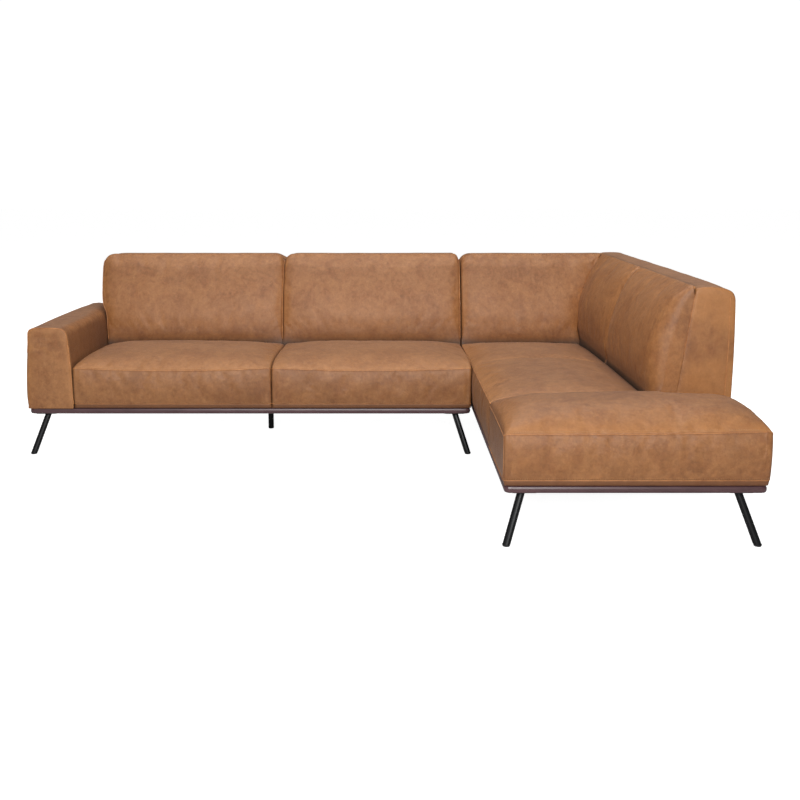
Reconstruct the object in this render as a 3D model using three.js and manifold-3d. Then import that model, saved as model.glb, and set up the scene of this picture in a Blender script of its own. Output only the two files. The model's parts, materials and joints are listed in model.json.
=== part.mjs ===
// Leather corner sofa in two units that hook together:
//   left unit   - two seats, one arm on the left, a back along the rear
//   corner unit - corner seat, middle seat and an open-ended front seat, with a back along the
//                 rear and another along the right side
// Each unit stands on a thin dark plinth and splayed steel tube legs.
// Millimetres, +Z up, the left unit faces -Y. Setting-out coordinates put Y = 0 on the left
// unit's front; ORIGIN moves everything so that the origin is the middle of the footprint.
import * as THREE from 'three';
import { mergeVertices } from 'three/addons/utils/BufferGeometryUtils.js';
import Module from 'manifold-3d';

const wasm = await Module();
wasm.setup();

// ---------------------------------------------------------------- driving dimensions
const ORIGIN = { x: -132, y: -67 }; // middle of the footprint in setting-out coordinates
const GAP = 0.4;                      // clearance between pieces that touch

const LEG_H = 176;        // floor to the underside of the plinth
const LEG_R = 12.7;       // leg tube radius, a one-inch tube
const LEG_WALL = 2.5;
const LEG_SPLAY_X = 57.4; // foot stands this far outside the top of the leg
const LEG_SPLAY_Y = 56.3;
const LEG_PLATE = 90;     // square mounting plate
const LEG_PLATE_T = 4;
const GLIDE_R = 13.6;
const GLIDE_H = 6;

const PLINTH_T = 24;
const PLINTH_W = 110;     // width of each plinth rail
const PLINTH_EDGE = 8;    // rounding of its outer edge
const PLINTH_TOP = LEG_H + PLINTH_T;

const SKIRT_Z = PLINTH_TOP + 1;   // lower edge of the leather
const FRAME_Z0 = PLINTH_TOP + GAP;
const FRAME_Z1 = 300;             // top of the seat frame
const FRAME_T = 22;               // board thickness
const WEB_T = 2.5;
const DECK_Z = FRAME_Z1 + 0.3 + WEB_T + GAP; // underside of the seat foam
const SKIRT_T = 26;               // leather and foam over the outside of the frame

const SEAM_Z = 372.6;     // seam along the front edge of the seats
const CROWN_Z = 427;      // highest point of the seats
const BUMPER_CROWN_Z = 443; // the open-ended front seat is plumper
const SEAT_REAR_Z = 396;  // where a seat meets its back

const REAR_Y = 873;       // outside of the rear backs
const RIGHT_X = 1235;     // outside of the right-hand back
const BACK_TOP_Z = 795;
const BACK_PAD_TOP_Z = 800;
const SEAT_BACK_Y = 572;  // rear edge of the seat foam

// left unit
const A_X0 = -1495, A_X1 = 379, A_Y0 = 6;      // plinth outline
const ARM_IN_X = -1304;   // clear line beside the arm
const ARM_TOP_Z = 546;
const A_SOFT_X1 = 381.5;  // right end of its upholstery
const A_SEAT_SPLIT = -465;
const A_BACK_SPLIT = -476;
const A_BACK_X0 = -1352;

// corner unit
const B_X0 = 391, B_X1 = 1233, B_Y0 = -998;    // plinth outline
const B_SOFT_X0 = 386.5, B_SOFT_X1 = 1238, B_FRONT_Y = -1004;
const B_SEAT_X1 = RIGHT_X - 301; // inner edge of the right-hand back at seat level
const B_SPLIT_1 = 0;      // corner seat / middle seat
const B_SPLIT_2 = -601;   // middle seat / front seat
const B_BACK_SPLIT = 46;
const B_BACK_END = -624;  // front end of the right-hand back

// ---------------------------------------------------------------- materials
const leather = () => new THREE.MeshStandardMaterial({ color: 0xa8744a, roughness: 0.55, metalness: 0 });
const plinthWood = () => new THREE.MeshStandardMaterial({ color: 0x4a2f30, roughness: 0.45, metalness: 0 });
const blackSteel = () => new THREE.MeshStandardMaterial({ color: 0x1e2024, roughness: 0.4, metalness: 0.6 });
const blackPlastic = () => new THREE.MeshStandardMaterial({ color: 0x141414, roughness: 0.6, metalness: 0 });
const timber = () => new THREE.MeshStandardMaterial({ color: 0xb99a6b, roughness: 0.8, metalness: 0 });
const plywood = () => new THREE.MeshStandardMaterial({ color: 0xc4a678, roughness: 0.8, metalness: 0 });
const webbing = () => new THREE.MeshStandardMaterial({ color: 0x3a3a3c, roughness: 0.9, metalness: 0 });
const dustCloth = () => new THREE.MeshStandardMaterial({ color: 0x18181a, roughness: 0.95, metalness: 0 });
const zincSteel = () => new THREE.MeshStandardMaterial({ color: 0x9a9ca0, roughness: 0.35, metalness: 0.9 });

// ---------------------------------------------------------------- solid helpers
function solid(geometry) {
  const g = geometry.clone();
  for (const a of ['normal', 'uv']) if (g.getAttribute(a)) g.deleteAttribute(a);
  const m = mergeVertices(g, 1e-4);
  return new wasm.Manifold(new wasm.Mesh({
    numProp: 3,
    vertProperties: Float32Array.from(m.getAttribute('position').array),
    triVerts: Uint32Array.from(m.index.array),
  }));
}

function geometryOf(manifold) {
  const mesh = manifold.getMesh();
  const g = new THREE.BufferGeometry();
  g.setAttribute('position', new THREE.BufferAttribute(Float32Array.from(mesh.vertProperties), 3));
  g.setIndex(new THREE.BufferAttribute(Uint32Array.from(mesh.triVerts), 1));
  g.computeVertexNormals();
  return g;
}

function box(x0, x1, y0, y1, z0, z1) {
  const g = new THREE.BoxGeometry(x1 - x0, y1 - y0, z1 - z0);
  g.translate((x0 + x1) / 2, (y0 + y1) / 2, (z0 + z1) / 2);
  return g;
}
const boxSolid = (...a) => solid(box(...a));

// outline in (first, second) coordinates swept along the third, with its end edges rounded by r
function sweep(points, from, to, axis, r = 0) {
  const shape = new THREE.Shape(points.map(([a, b]) => new THREE.Vector2(a, b)));
  const g = new THREE.ExtrudeGeometry(shape, {
    depth: to - from - 2 * r, bevelEnabled: r > 0, bevelThickness: r, bevelSize: r,
    bevelOffset: -r, bevelSegments: 2, curveSegments: 4,
  });
  g.translate(0, 0, r);
  const m = new THREE.Matrix4();
  if (axis === 'x') { // outline in (Y, Z), swept along +X
    m.makeBasis(new THREE.Vector3(0, 1, 0), new THREE.Vector3(0, 0, 1), new THREE.Vector3(1, 0, 0));
    m.setPosition(from, 0, 0);
  } else if (axis === 'y') { // outline in (X, Z), swept along -Y from the far end
    m.makeBasis(new THREE.Vector3(1, 0, 0), new THREE.Vector3(0, 0, 1), new THREE.Vector3(0, -1, 0));
    m.setPosition(0, to, 0);
  } else { // outline in (X, Y), swept along +Z
    m.setPosition(0, 0, from);
  }
  g.applyMatrix4(m);
  return g;
}
const sweepSolid = (...a) => solid(sweep(...a));

// corner arc points, centre (a, b), radius r, degrees
function arc(a, b, r, d0, d1, n) {
  const out = [];
  for (let i = 0; i <= n; i++) {
    const t = THREE.MathUtils.degToRad(d0 + (d1 - d0) * i / n);
    out.push([a + r * Math.cos(t), b + r * Math.sin(t)]);
  }
  return out;
}

function roundedRect(x0, x1, y0, y1, r, n = 4) {
  return [
    ...arc(x1 - r, y0 + r, r, -90, 0, n), ...arc(x1 - r, y1 - r, r, 0, 90, n),
    ...arc(x0 + r, y1 - r, r, 90, 180, n), ...arc(x0 + r, y0 + r, r, 180, 270, n),
  ];
}

const group = new THREE.Group();
const units = { left: new THREE.Group(), corner: new THREE.Group() };
group.add(units.left, units.corner);
group.position.set(-ORIGIN.x, -ORIGIN.y, 0);

function add(unit, name, shape, material) {
  const mesh = new THREE.Mesh(shape.isBufferGeometry ? shape : geometryOf(shape), material);
  mesh.name = name;
  units[unit].add(mesh);
  return mesh;
}

// ---------------------------------------------------------------- plinths: four rails each
function plinth(unit, tag, x0, x1, y0, y1) {
  const slab = sweepSolid(roundedRect(x0, x1, y0, y1, 20), LEG_H, PLINTH_TOP, 'z', PLINTH_EDGE);
  const w = PLINTH_W, g = GAP / 2;
  const cut = (a, b, c, d) => slab.intersect(boxSolid(a, b, c, d, LEG_H - 5, PLINTH_TOP + 5));
  add(unit, `plinth_front_${tag}`, cut(x0 - 5, x1 + 5, y0 - 5, y0 + w - g), plinthWood());
  add(unit, `plinth_rear_${tag}`, cut(x0 - 5, x1 + 5, y1 - w + g, y1 + 5), plinthWood());
  add(unit, `plinth_left_${tag}`, cut(x0 - 5, x0 + w, y0 + w + g, y1 - w - g), plinthWood());
  add(unit, `plinth_right_${tag}`, cut(x1 - w, x1 + 5, y0 + w + g, y1 - w - g), plinthWood());
  add(unit, `dust_cover_${tag}`, box(x0 + w + 1, x1 - w - 1, y0 + w + 1, y1 - w - 1,
    PLINTH_TOP - 2, PLINTH_TOP - 0.5), dustCloth());
}
const PLINTH_Y1 = REAR_Y - 6;
plinth('left', 'left_unit', A_X0, A_X1, A_Y0, PLINTH_Y1);
plinth('corner', 'corner_unit', B_X0, B_X1, B_Y0, PLINTH_Y1);

// ---------------------------------------------------------------- legs and glides
// a round bar between two points
function bar(p, q, r, sides) {
  const a = new THREE.Vector3(...p), b = new THREE.Vector3(...q);
  const g = new THREE.CylinderGeometry(r, r, a.distanceTo(b), sides);
  g.applyQuaternion(new THREE.Quaternion().setFromUnitVectors(
    new THREE.Vector3(0, 1, 0), b.clone().sub(a).normalize()));
  g.translate((a.x + b.x) / 2, (a.y + b.y) / 2, (a.z + b.z) / 2);
  return solid(g);
}

// steel tube welded under a square plate, cut level at the foot, with a plastic glide plugged in
function leg(unit, name, x, y, sx, sy, plateTop) {
  const top = [x, y, plateTop - LEG_PLATE_T / 2];
  const at = (z) => {
    const k = (LEG_H - z) / LEG_H;
    return [x + sx * k, y + sy * k, z];
  };
  const zone = boxSolid(x - 200, x + 200, y - 200, y + 200, GLIDE_H + GAP, plateTop - 1);
  const h = LEG_PLATE / 2;
  const plate = sweepSolid(roundedRect(x - h, x + h, y - h, y + h, 10, 2), plateTop - LEG_PLATE_T, plateTop, 'z');
  const tube = bar(at(-20), at(top[2] + 20), LEG_R, 16).intersect(zone);
  const bore = bar(at(-20), at(plateTop - 20), LEG_R - LEG_WALL, 10);
  add(unit, `leg_${name}`, tube.add(plate).subtract(bore), blackSteel());

  const foot = at(GLIDE_H / 2);
  const disc = new THREE.CylinderGeometry(GLIDE_R, GLIDE_R - 1.5, GLIDE_H, 16);
  disc.rotateX(Math.PI / 2);
  disc.translate(foot[0], foot[1], GLIDE_H / 2);
  const stem = bar(at(-20), at(24), LEG_R - LEG_WALL - 1.2, 8)
    .intersect(boxSolid(x - 200, x + 200, y - 200, y + 200, 3, 20));
  add(unit, `glide_${name}`, solid(disc).add(stem), blackPlastic());
}
const INSET_X = 64, INSET_Y = 69.5;
leg('left', 'arm_front', A_X0 + INSET_X, INSET_Y, -LEG_SPLAY_X, -LEG_SPLAY_Y, LEG_H - GAP);
leg('left', 'arm_rear', A_X0 + INSET_X, REAR_Y - INSET_Y, -LEG_SPLAY_X, LEG_SPLAY_Y, LEG_H - GAP);
leg('left', 'inner_front', A_X1 - 66, INSET_Y, LEG_SPLAY_X, -LEG_SPLAY_Y, LEG_H - GAP);
leg('left', 'inner_rear', A_X1 - 66, REAR_Y - INSET_Y, LEG_SPLAY_X, LEG_SPLAY_Y, LEG_H - GAP);
leg('left', 'centre_support', -520, 425, 0, 0, PLINTH_TOP - 2 - GAP);
leg('corner', 'chaise_left', 458, B_FRONT_Y + INSET_Y, -LEG_SPLAY_X, -LEG_SPLAY_Y, LEG_H - GAP);
leg('corner', 'chaise_right', 1154, B_FRONT_Y + INSET_Y, LEG_SPLAY_X, -LEG_SPLAY_Y, LEG_H - GAP);
leg('corner', 'corner_left', 482, REAR_Y - INSET_Y, -LEG_SPLAY_X, LEG_SPLAY_Y, LEG_H - GAP);
leg('corner', 'corner_right', 1154, REAR_Y - INSET_Y, LEG_SPLAY_X, LEG_SPLAY_Y, LEG_H - GAP);

// ---------------------------------------------------------------- seat frames
const PANEL_D0 = SKIRT_T + GAP;             // back panel, measured in from the outside of a back
const PANEL_D1 = PANEL_D0 + FRAME_T;
const RAIL_D0 = PANEL_D1 + GAP;             // the frame rail that the panel is screwed to
const RAIL_D1 = RAIL_D0 + FRAME_T;

function seatFrame(unit, tag, x0, x1, y0, y1) {
  const t = FRAME_T;
  add(unit, `seat_rail_front_${tag}`, box(x0, x1, y0, y0 + t, FRAME_Z0, FRAME_Z1), timber());
  add(unit, `seat_rail_rear_${tag}`, box(x0, x1, y1 - t, y1, FRAME_Z0, FRAME_Z1), timber());
  add(unit, `seat_rail_left_${tag}`, box(x0, x0 + t, y0 + t + GAP, y1 - t - GAP, FRAME_Z0, FRAME_Z1), timber());
  add(unit, `seat_rail_right_${tag}`, box(x1 - t, x1, y0 + t + GAP, y1 - t - GAP, FRAME_Z0, FRAME_Z1), timber());
}
const FRAME_A = { x0: ARM_IN_X + 2, x1: A_SOFT_X1 - SKIRT_T - 2.5, y0: 28.5, y1: REAR_Y - RAIL_D0 };
const FRAME_B = { x0: B_SOFT_X0 + SKIRT_T + 2.5, x1: RIGHT_X - RAIL_D0, y0: B_FRONT_Y + 28.5, y1: REAR_Y - RAIL_D0 };
seatFrame('left', 'left_unit', FRAME_A.x0, FRAME_A.x1, FRAME_A.y0, FRAME_A.y1);
seatFrame('corner', 'corner_unit', FRAME_B.x0, FRAME_B.x1, FRAME_B.y0, FRAME_B.y1);
add('left', 'seat_cross_rail_left_unit', box(-540, -500, FRAME_A.y0 + FRAME_T + GAP,
  FRAME_A.y1 - FRAME_T - GAP, FRAME_Z0, FRAME_Z1), timber());
add('corner', 'seat_cross_rail_corner_unit', box(FRAME_B.x0 + FRAME_T + GAP, FRAME_B.x1 - FRAME_T - GAP,
  B_SPLIT_2 - 20, B_SPLIT_2 + 20, FRAME_Z0, FRAME_Z1), timber());

// elastic webbing stapled across the top of each frame, bands both ways
function webbingGrid(x0, x1, y0, y1, nx, ny, w) {
  const z0 = FRAME_Z1 + 0.3, z1 = z0 + WEB_T;
  let grid = null;
  const join = (s) => { grid = grid ? grid.add(s) : s; };
  for (let i = 0; i < nx; i++) {
    const c = x0 + w / 2 + (x1 - x0 - w) * i / (nx - 1);
    join(boxSolid(c - w / 2, c + w / 2, y0, y1, z0, z1));
  }
  for (let j = 0; j < ny; j++) {
    const c = y0 + 50 + w / 2 + (y1 - y0 - 100 - w) * j / (ny - 1);
    join(boxSolid(x0, x1, c - w / 2, c + w / 2, z0, z1));
  }
  return grid;
}
add('left', 'seat_webbing_left_unit', webbingGrid(FRAME_A.x0 + 3, FRAME_A.x1 - 3, FRAME_A.y0 + 3,
  FRAME_A.y1 - 3, 10, 5, 70), webbing());
add('corner', 'seat_webbing_corner_unit', webbingGrid(FRAME_B.x0 + 3, FRAME_B.x1 - 3, FRAME_B.y0 + 3,
  FRAME_B.y1 - 3, 5, 10, 70), webbing());

// ---------------------------------------------------------------- arm
const armOutline = [
  [-1306, SKIRT_Z], [-1308, 300], [-1313, 420], [-1320, 500], ...arc(-1352, 514, 32, 10, 90, 4),
  ...arc(-1450, 508, 38, 90, 165, 4), [-1494, 430], [-1500, 340], [-1502, 260], [-1498, SKIRT_Z],
];
const ARM_Y1 = REAR_Y - 5;
const ARM_PANEL = [-1415, -1415 + FRAME_T];
const arm = sweepSolid(armOutline, 0, ARM_Y1, 'y', 8)
  .subtract(boxSolid(ARM_PANEL[0] - GAP, ARM_PANEL[1] + GAP, 30 - GAP, 838 + GAP, 150, 505));
add('left', 'arm_cushion', arm, leather());
add('left', 'arm_panel', box(ARM_PANEL[0], ARM_PANEL[1], 30, 838, FRAME_Z0, 504), plywood());
const armClear = boxSolid(-1600, ARM_IN_X, -50, REAR_Y + 50, 0, ARM_TOP_Z + 2);

// ---------------------------------------------------------------- backs
// outlines of a back in (d, z), d measured in from its outside face
const shellOutline = (grow = 0) => [
  [0, SKIRT_Z], [0, 755], [3, 774], [12, 787], [28, 793.5], [60, BACK_TOP_Z], [110, BACK_TOP_Z],
  [126 + grow, 793], [135 + grow, 785], [190 + grow, 400], [190 + grow, DECK_Z + 1],
  [SKIRT_T, DECK_Z + 1], [SKIRT_T, SKIRT_Z],
];
const padOutline = (grow = 0) => [
  [190 + GAP, DECK_Z + 1], [190 + GAP, 400], [135 + GAP, 786], [137, 796], [148, BACK_PAD_TOP_Z],
  [166 + grow, 793], [186 + grow, 768], [205 + grow, 725], [228 + grow, 668], [250 + grow, 605],
  [266 + grow, 540], [282 + grow, 460], [293 + grow, 405], [299 + grow, 360], [299 + grow, DECK_Z + 1],
];
const fromRear = (pts) => pts.map(([d, z]) => [REAR_Y - d, z]);
const fromRight = (pts) => pts.map(([d, z]) => [RIGHT_X - d, z]);

// front view outline of a back cushion, with rounded top corners
const padFront = (a0, a1, rl, rr) => [
  [a0, 250], [a1, 250], ...arc(a1 - rr, BACK_PAD_TOP_Z - rr, rr, 0, 90, 4),
  ...arc(a0 + rl, BACK_PAD_TOP_Z - rl, rl, 90, 180, 4),
];

const shellFront = (a0, a1, rl, rr) => [
  [a0, 150], [a1, 150], ...arc(a1 - rr, BACK_TOP_Z - rr, rr, 0, 90, 3),
  ...arc(a0 + rl, BACK_TOP_Z - rl, rl, 90, 180, 3),
];
const slotRear = (x0, x1) => boxSolid(x0 - GAP, x1 + GAP, REAR_Y - PANEL_D1 - GAP, REAR_Y - PANEL_D0 + GAP, 150, 771);
const slotRight = (y0, y1) => boxSolid(RIGHT_X - PANEL_D1 - GAP, RIGHT_X - PANEL_D0 + GAP, y0 - GAP, y1 + GAP, 150, 771);

// left unit, rear back
const shellA = sweepSolid(fromRear(shellOutline()), A_BACK_X0 - 8, A_SOFT_X1, 'x')
  .intersect(sweepSolid(shellFront(A_BACK_X0 - 8, A_SOFT_X1, 24, 16), 600, REAR_Y + 5, 'y'))
  .subtract(armClear)
  .subtract(slotRear(ARM_IN_X + 28, A_SOFT_X1 - SKIRT_T));
add('left', 'back_cover_left_unit', shellA, leather());
add('left', 'back_panel_left_unit', box(ARM_IN_X + 28, A_SOFT_X1 - SKIRT_T, REAR_Y - PANEL_D1,
  REAR_Y - PANEL_D0, FRAME_Z0, 770), plywood());

// corner unit, right-hand back (runs to the rear corner) and rear back (butts against it)
const shellRight = sweepSolid(fromRight(shellOutline()), B_BACK_END, REAR_Y, 'y')
  .intersect(sweepSolid(shellFront(B_BACK_END, REAR_Y, 14, 24), 900, RIGHT_X + 5, 'x'))
  .subtract(slotRight(B_BACK_END + 28, REAR_Y - 30));
add('corner', 'back_cover_right', shellRight, leather());
add('corner', 'back_panel_right', box(RIGHT_X - PANEL_D1, RIGHT_X - PANEL_D0, B_BACK_END + 28,
  REAR_Y - 30, FRAME_Z0, 770), plywood());
const rightClear = sweepSolid(fromRight(shellOutline(GAP).map(([d, z]) => [d < 1 ? -20 : d, z])), B_BACK_END - 5, REAR_Y + 5, 'y')
  .add(boxSolid(RIGHT_X - SKIRT_T - 200, RIGHT_X + 20, B_BACK_END - 5, REAR_Y + 5, 100, DECK_Z + 2));
const shellRear = sweepSolid(fromRear(shellOutline()), B_SOFT_X0, 1130, 'x')
  .intersect(sweepSolid(shellFront(B_SOFT_X0, 1190, 16, 4), 600, REAR_Y + 5, 'y'))
  .subtract(rightClear)
  .subtract(slotRear(B_SOFT_X0 + SKIRT_T, 1020));
add('corner', 'back_cover_rear', shellRear, leather());
add('corner', 'back_panel_rear', box(B_SOFT_X0 + SKIRT_T, 1020, REAR_Y - PANEL_D1,
  REAR_Y - PANEL_D0, FRAME_Z0, 770), plywood());

// back cushions
const backPadX = (x0, x1, rl, rr, grow = 0) => sweepSolid(fromRear(padOutline(grow)), x0, x1, 'x')
  .intersect(sweepSolid(padFront(x0, x1, rl, rr), 500, 800, 'y', 0));
add('left', 'back_cushion_left', backPadX(A_BACK_X0, A_BACK_SPLIT - 0.5, 38, 26).subtract(armClear), leather());
add('left', 'back_cushion_centre', backPadX(A_BACK_SPLIT + 0.5, A_SOFT_X1, 26, 26), leather());

const rearClear = boxSolid(B_SOFT_X0 - 20, RIGHT_X + 20, REAR_Y - 190 - GAP, REAR_Y + 20, 100, 405)
  .add(sweepSolid(fromRear([[-20, 300], [-20, 900], [110, 900], [126 + GAP, 793.6], [135 + GAP, 785], [190 + GAP, 400], [190 + GAP, 300]]),
    B_SOFT_X0 - 20, RIGHT_X + 20, 'x'));
const backPadY = (y0, y1, rf, rr) => sweepSolid(fromRight(padOutline()), y0, y1, 'y')
  .intersect(sweepSolid(padFront(y0, y1, rf, rr), 850, 1150, 'x'));
const padMiddle = backPadY(B_BACK_SPLIT + 0.5, 745, 24, 4).subtract(rearClear);
add('corner', 'back_cushion_right_rear', padMiddle, leather());
add('corner', 'back_cushion_right_front', backPadY(B_BACK_END, B_BACK_SPLIT - 0.5, 22, 24), leather());
const middleClear = sweepSolid(fromRight([[60, 300], [60, 850], ...padOutline(GAP).slice(4)]), 40, 900, 'y');
const padCorner = backPadX(B_SOFT_X0, 1130, 26, 4)
  .subtract(middleClear)
  .subtract(boxSolid(RIGHT_X - 300.5, 1300, 0, 900, 150, 420));
add('corner', 'back_cushion_corner', padCorner, leather());

// ---------------------------------------------------------------- seats
// outline front to rear in (Y, Z): near-vertical front face, crowned top
function seatSide(yf, yr, crown, rearZ) {
  const L = yr - yf, pts = [[yf + 2, SKIRT_Z], [yf, 235], [yf - 3, 300], [yf - 1, 350], [yf + 4, SEAM_Z]];
  for (const [t, k] of [[0.05, 0.42], [0.12, 0.66], [0.24, 0.88], [0.38, 0.985], [0.52, 1], [0.68, 0.95], [0.82, 0.8]]) {
    const base = SEAM_Z + (rearZ - SEAM_Z) * t;
    const top = (SEAM_Z + rearZ) / 2;
    pts.push([yf + L * t, base + (crown - top) * k]);
  }
  pts.push([yr, rearZ], [yr, SKIRT_Z]);
  return pts;
}
// outline across a seat: crowned between its two side edges at height e
function seatAcross(a0, a1, e0, e1, crown) {
  const W = a1 - a0, pts = [[a0 + 1, SKIRT_Z - 5], [a0, 300], [a0 + 1, e0 - 12], [a0 + 6, e0]];
  for (const [t, k] of [[0.06, 0.42], [0.14, 0.68], [0.28, 0.9], [0.5, 1], [0.72, 0.9], [0.86, 0.68], [0.94, 0.42]]) {
    pts.push([a0 + W * t, e0 + (e1 - e0) * t + (crown + 4 - (e0 + e1) / 2) * k]);
  }
  pts.push([a1 - 6, e1], [a1 - 1, e1 - 12], [a1, 300], [a1 - 1, SKIRT_Z - 5]);
  return pts;
}
const pocket = (x0, x1, y0, y1) => boxSolid(x0, x1, y0, y1, 150, DECK_Z);
const reversed = (pts) => pts.slice().reverse();

function seatX(x0, x1, e0, e1) { // left unit, front faces -Y
  return sweepSolid(reversed(seatSide(0, SEAT_BACK_Y, CROWN_Z, SEAT_REAR_Z)), x0, x1, 'x')
    .intersect(sweepSolid(reversed(seatAcross(x0, x1, e0, e1, CROWN_Z)), -20, SEAT_BACK_Y + 20, 'y'));
}
add('left', 'seat_cushion_left', seatX(ARM_IN_X, A_SEAT_SPLIT - 0.5, 372, 376)
  .subtract(pocket(ARM_IN_X - 10, 0, SKIRT_T + 1, 900)), leather());
add('left', 'seat_cushion_centre', seatX(A_SEAT_SPLIT + 0.5, A_SOFT_X1, 376, 376)
  .subtract(pocket(A_SEAT_SPLIT - 10, A_SOFT_X1 - SKIRT_T, SKIRT_T + 1, 900)), leather());

// corner unit: open side faces -X
const acrossB = (crown) => {
  const W = B_SEAT_X1 - B_SOFT_X0;
  return [...seatSide(B_SOFT_X0, B_SEAT_X1, crown, SEAT_REAR_Z)];
};
function lengthB(y0, y1, e0, e1, crown) {
  return seatAcross(y0, y1, e0, e1, crown);
}
const cornerSeat = sweepSolid(reversed(acrossB(CROWN_Z)), B_SPLIT_1 - 10, SEAT_BACK_Y, 'y')
  .intersect(sweepSolid(reversed(lengthB(B_SPLIT_1 + 0.5, SEAT_BACK_Y, 384, 392, CROWN_Z)), 300, 1000, 'x'));
add('corner', 'seat_cushion_corner', cornerSeat.subtract(pocket(B_SOFT_X0 + SKIRT_T, 1000, -50, 900)), leather());
const middleSeat = sweepSolid(reversed(acrossB(CROWN_Z)), B_SPLIT_2 - 10, B_SPLIT_1 + 10, 'y')
  .intersect(sweepSolid(reversed(lengthB(B_SPLIT_2 + 0.5, B_SPLIT_1 - 0.5, 386, 386, CROWN_Z)), 300, 1000, 'x'));
add('corner', 'seat_cushion_middle', middleSeat.subtract(pocket(B_SOFT_X0 + SKIRT_T, 1000, -900, 900)), leather());
const frontSeat = sweepSolid(reversed(seatSide(B_FRONT_Y, B_SPLIT_2 - 0.5, BUMPER_CROWN_Z, 392)), B_SOFT_X0 - 10, B_SOFT_X1 + 10, 'x')
  .intersect(sweepSolid(reversed(seatAcross(B_SOFT_X0, B_SOFT_X1, SEAM_Z, SEAM_Z, BUMPER_CROWN_Z)), B_FRONT_Y - 20, B_SPLIT_2 + 5, 'y'))
  .subtract(pocket(B_SOFT_X0 + SKIRT_T, B_SOFT_X1 - SKIRT_T, B_FRONT_Y + SKIRT_T + 1, -500))
  .subtract(boxSolid(B_SEAT_X1 - 0.5, 1300, B_BACK_END - 0.5, -500, 100, 500));
add('corner', 'seat_cushion_front', frontSeat, leather());

// ---------------------------------------------------------------- connector between the units
// a flat steel tongue under the left unit slides into a channel under the corner unit
const TONGUE_Z1 = LEG_H - GAP, TONGUE_T = 3;
add('left', 'connector_tongue', box(296, 430, 402, 462, TONGUE_Z1 - TONGUE_T, TONGUE_Z1), zincSteel());
add('corner', 'connector_channel', boxSolid(397, 470, 388, 476, LEG_H - GAP - 7, LEG_H - GAP)
  .subtract(boxSolid(380, 440, 401, 463, LEG_H - GAP - TONGUE_T - 0.6, LEG_H + 5)), zincSteel());

export default group;
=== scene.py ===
import bpy, bmesh, json, math
import numpy as np
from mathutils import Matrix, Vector, noise


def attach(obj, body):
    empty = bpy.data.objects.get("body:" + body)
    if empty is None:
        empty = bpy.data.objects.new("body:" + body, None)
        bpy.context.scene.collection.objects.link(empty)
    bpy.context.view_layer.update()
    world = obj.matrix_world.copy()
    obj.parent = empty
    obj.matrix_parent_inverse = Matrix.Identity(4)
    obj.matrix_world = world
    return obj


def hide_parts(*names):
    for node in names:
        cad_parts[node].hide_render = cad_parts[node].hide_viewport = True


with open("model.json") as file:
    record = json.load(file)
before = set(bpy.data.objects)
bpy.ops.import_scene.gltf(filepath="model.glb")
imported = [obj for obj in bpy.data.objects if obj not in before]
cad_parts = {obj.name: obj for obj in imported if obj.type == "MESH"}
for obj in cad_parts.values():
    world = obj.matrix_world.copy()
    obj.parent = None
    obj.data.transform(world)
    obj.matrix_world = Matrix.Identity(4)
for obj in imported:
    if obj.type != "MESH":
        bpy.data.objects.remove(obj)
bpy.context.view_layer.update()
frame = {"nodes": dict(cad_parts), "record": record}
scene = bpy.context.scene

# Setting-out coordinates in millimetres: X = 0 on the camera's plane, Y = 0 on the left unit's front.
OX, OY = 132.0, 67.0


def to_row(p):
    p = np.asarray(p, float)
    return (p + np.array([OX, OY, 0.0])) / 1000.0


# ------------------------------------------------------------------ numeric helpers
def curve(xs, ys):
    """Monotone cubic through the points."""
    xs = np.asarray(xs, float)
    ys = np.asarray(ys, float)
    h = np.diff(xs)
    dl = np.diff(ys) / h
    m = np.zeros_like(ys)
    for i in range(1, len(xs) - 1):
        if dl[i - 1] * dl[i] > 0:
            w1, w2 = 2 * h[i] + h[i - 1], h[i] + 2 * h[i - 1]
            m[i] = (w1 + w2) / (w1 / dl[i - 1] + w2 / dl[i])
    m[0], m[-1] = dl[0], dl[-1]

    def f(x):
        x = np.clip(np.asarray(x, float), xs[0], xs[-1])
        k = np.clip(np.searchsorted(xs, x, side="right") - 1, 0, len(xs) - 2)
        t = (x - xs[k]) / h[k]
        return ((1 + 2 * t) * (1 - t) ** 2 * ys[k] + t * (1 - t) ** 2 * h[k] * m[k]
                + t * t * (3 - 2 * t) * ys[k + 1] + t * t * (t - 1) * h[k] * m[k + 1])
    return f


def spread(a, b, step, head=(), tail=()):
    """Stations from a to b: fixed offsets at each end, then even steps between."""
    L = b - a
    lo = [h for h in head if h < L * 0.45]
    hi = [L - h for h in tail if h < L * 0.45]
    s0, s1 = (lo[-1] if lo else 0.0), (hi[-1] if hi else L)
    n = max(1, int(round((s1 - s0) / step)))
    mid = list(np.linspace(s0, s1, n + 1))
    pts = sorted(set(round(v, 4) for v in lo + mid + hi + [0.0, L]))
    return np.array([a + v for v in pts])


def smooth(x, a, b):
    t = np.clip((np.asarray(x, float) - a) / (b - a), 0, 1)
    return t * t * (3 - 2 * t)


def round_in(x, r):
    """How far an edge of radius r has drawn in at distance x from the end."""
    x = np.clip(x, 0, None)
    t = np.clip(r - x, 0, None)
    return np.where(r > 1e-6, r - np.sqrt(np.clip(r * r - t * t, 0, None)), 0.0)


def field(p, scale, seed, octaves=3):
    """Smooth noise at points p (mm), about -1 to 1, the same on each run."""
    q = np.asarray(p, float) / scale + seed * 17.31
    out = np.empty(len(q))
    for i, v in enumerate(q):
        out[i] = noise.fractal(Vector(v), 0.6, 2.1, octaves)
    return out


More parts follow.
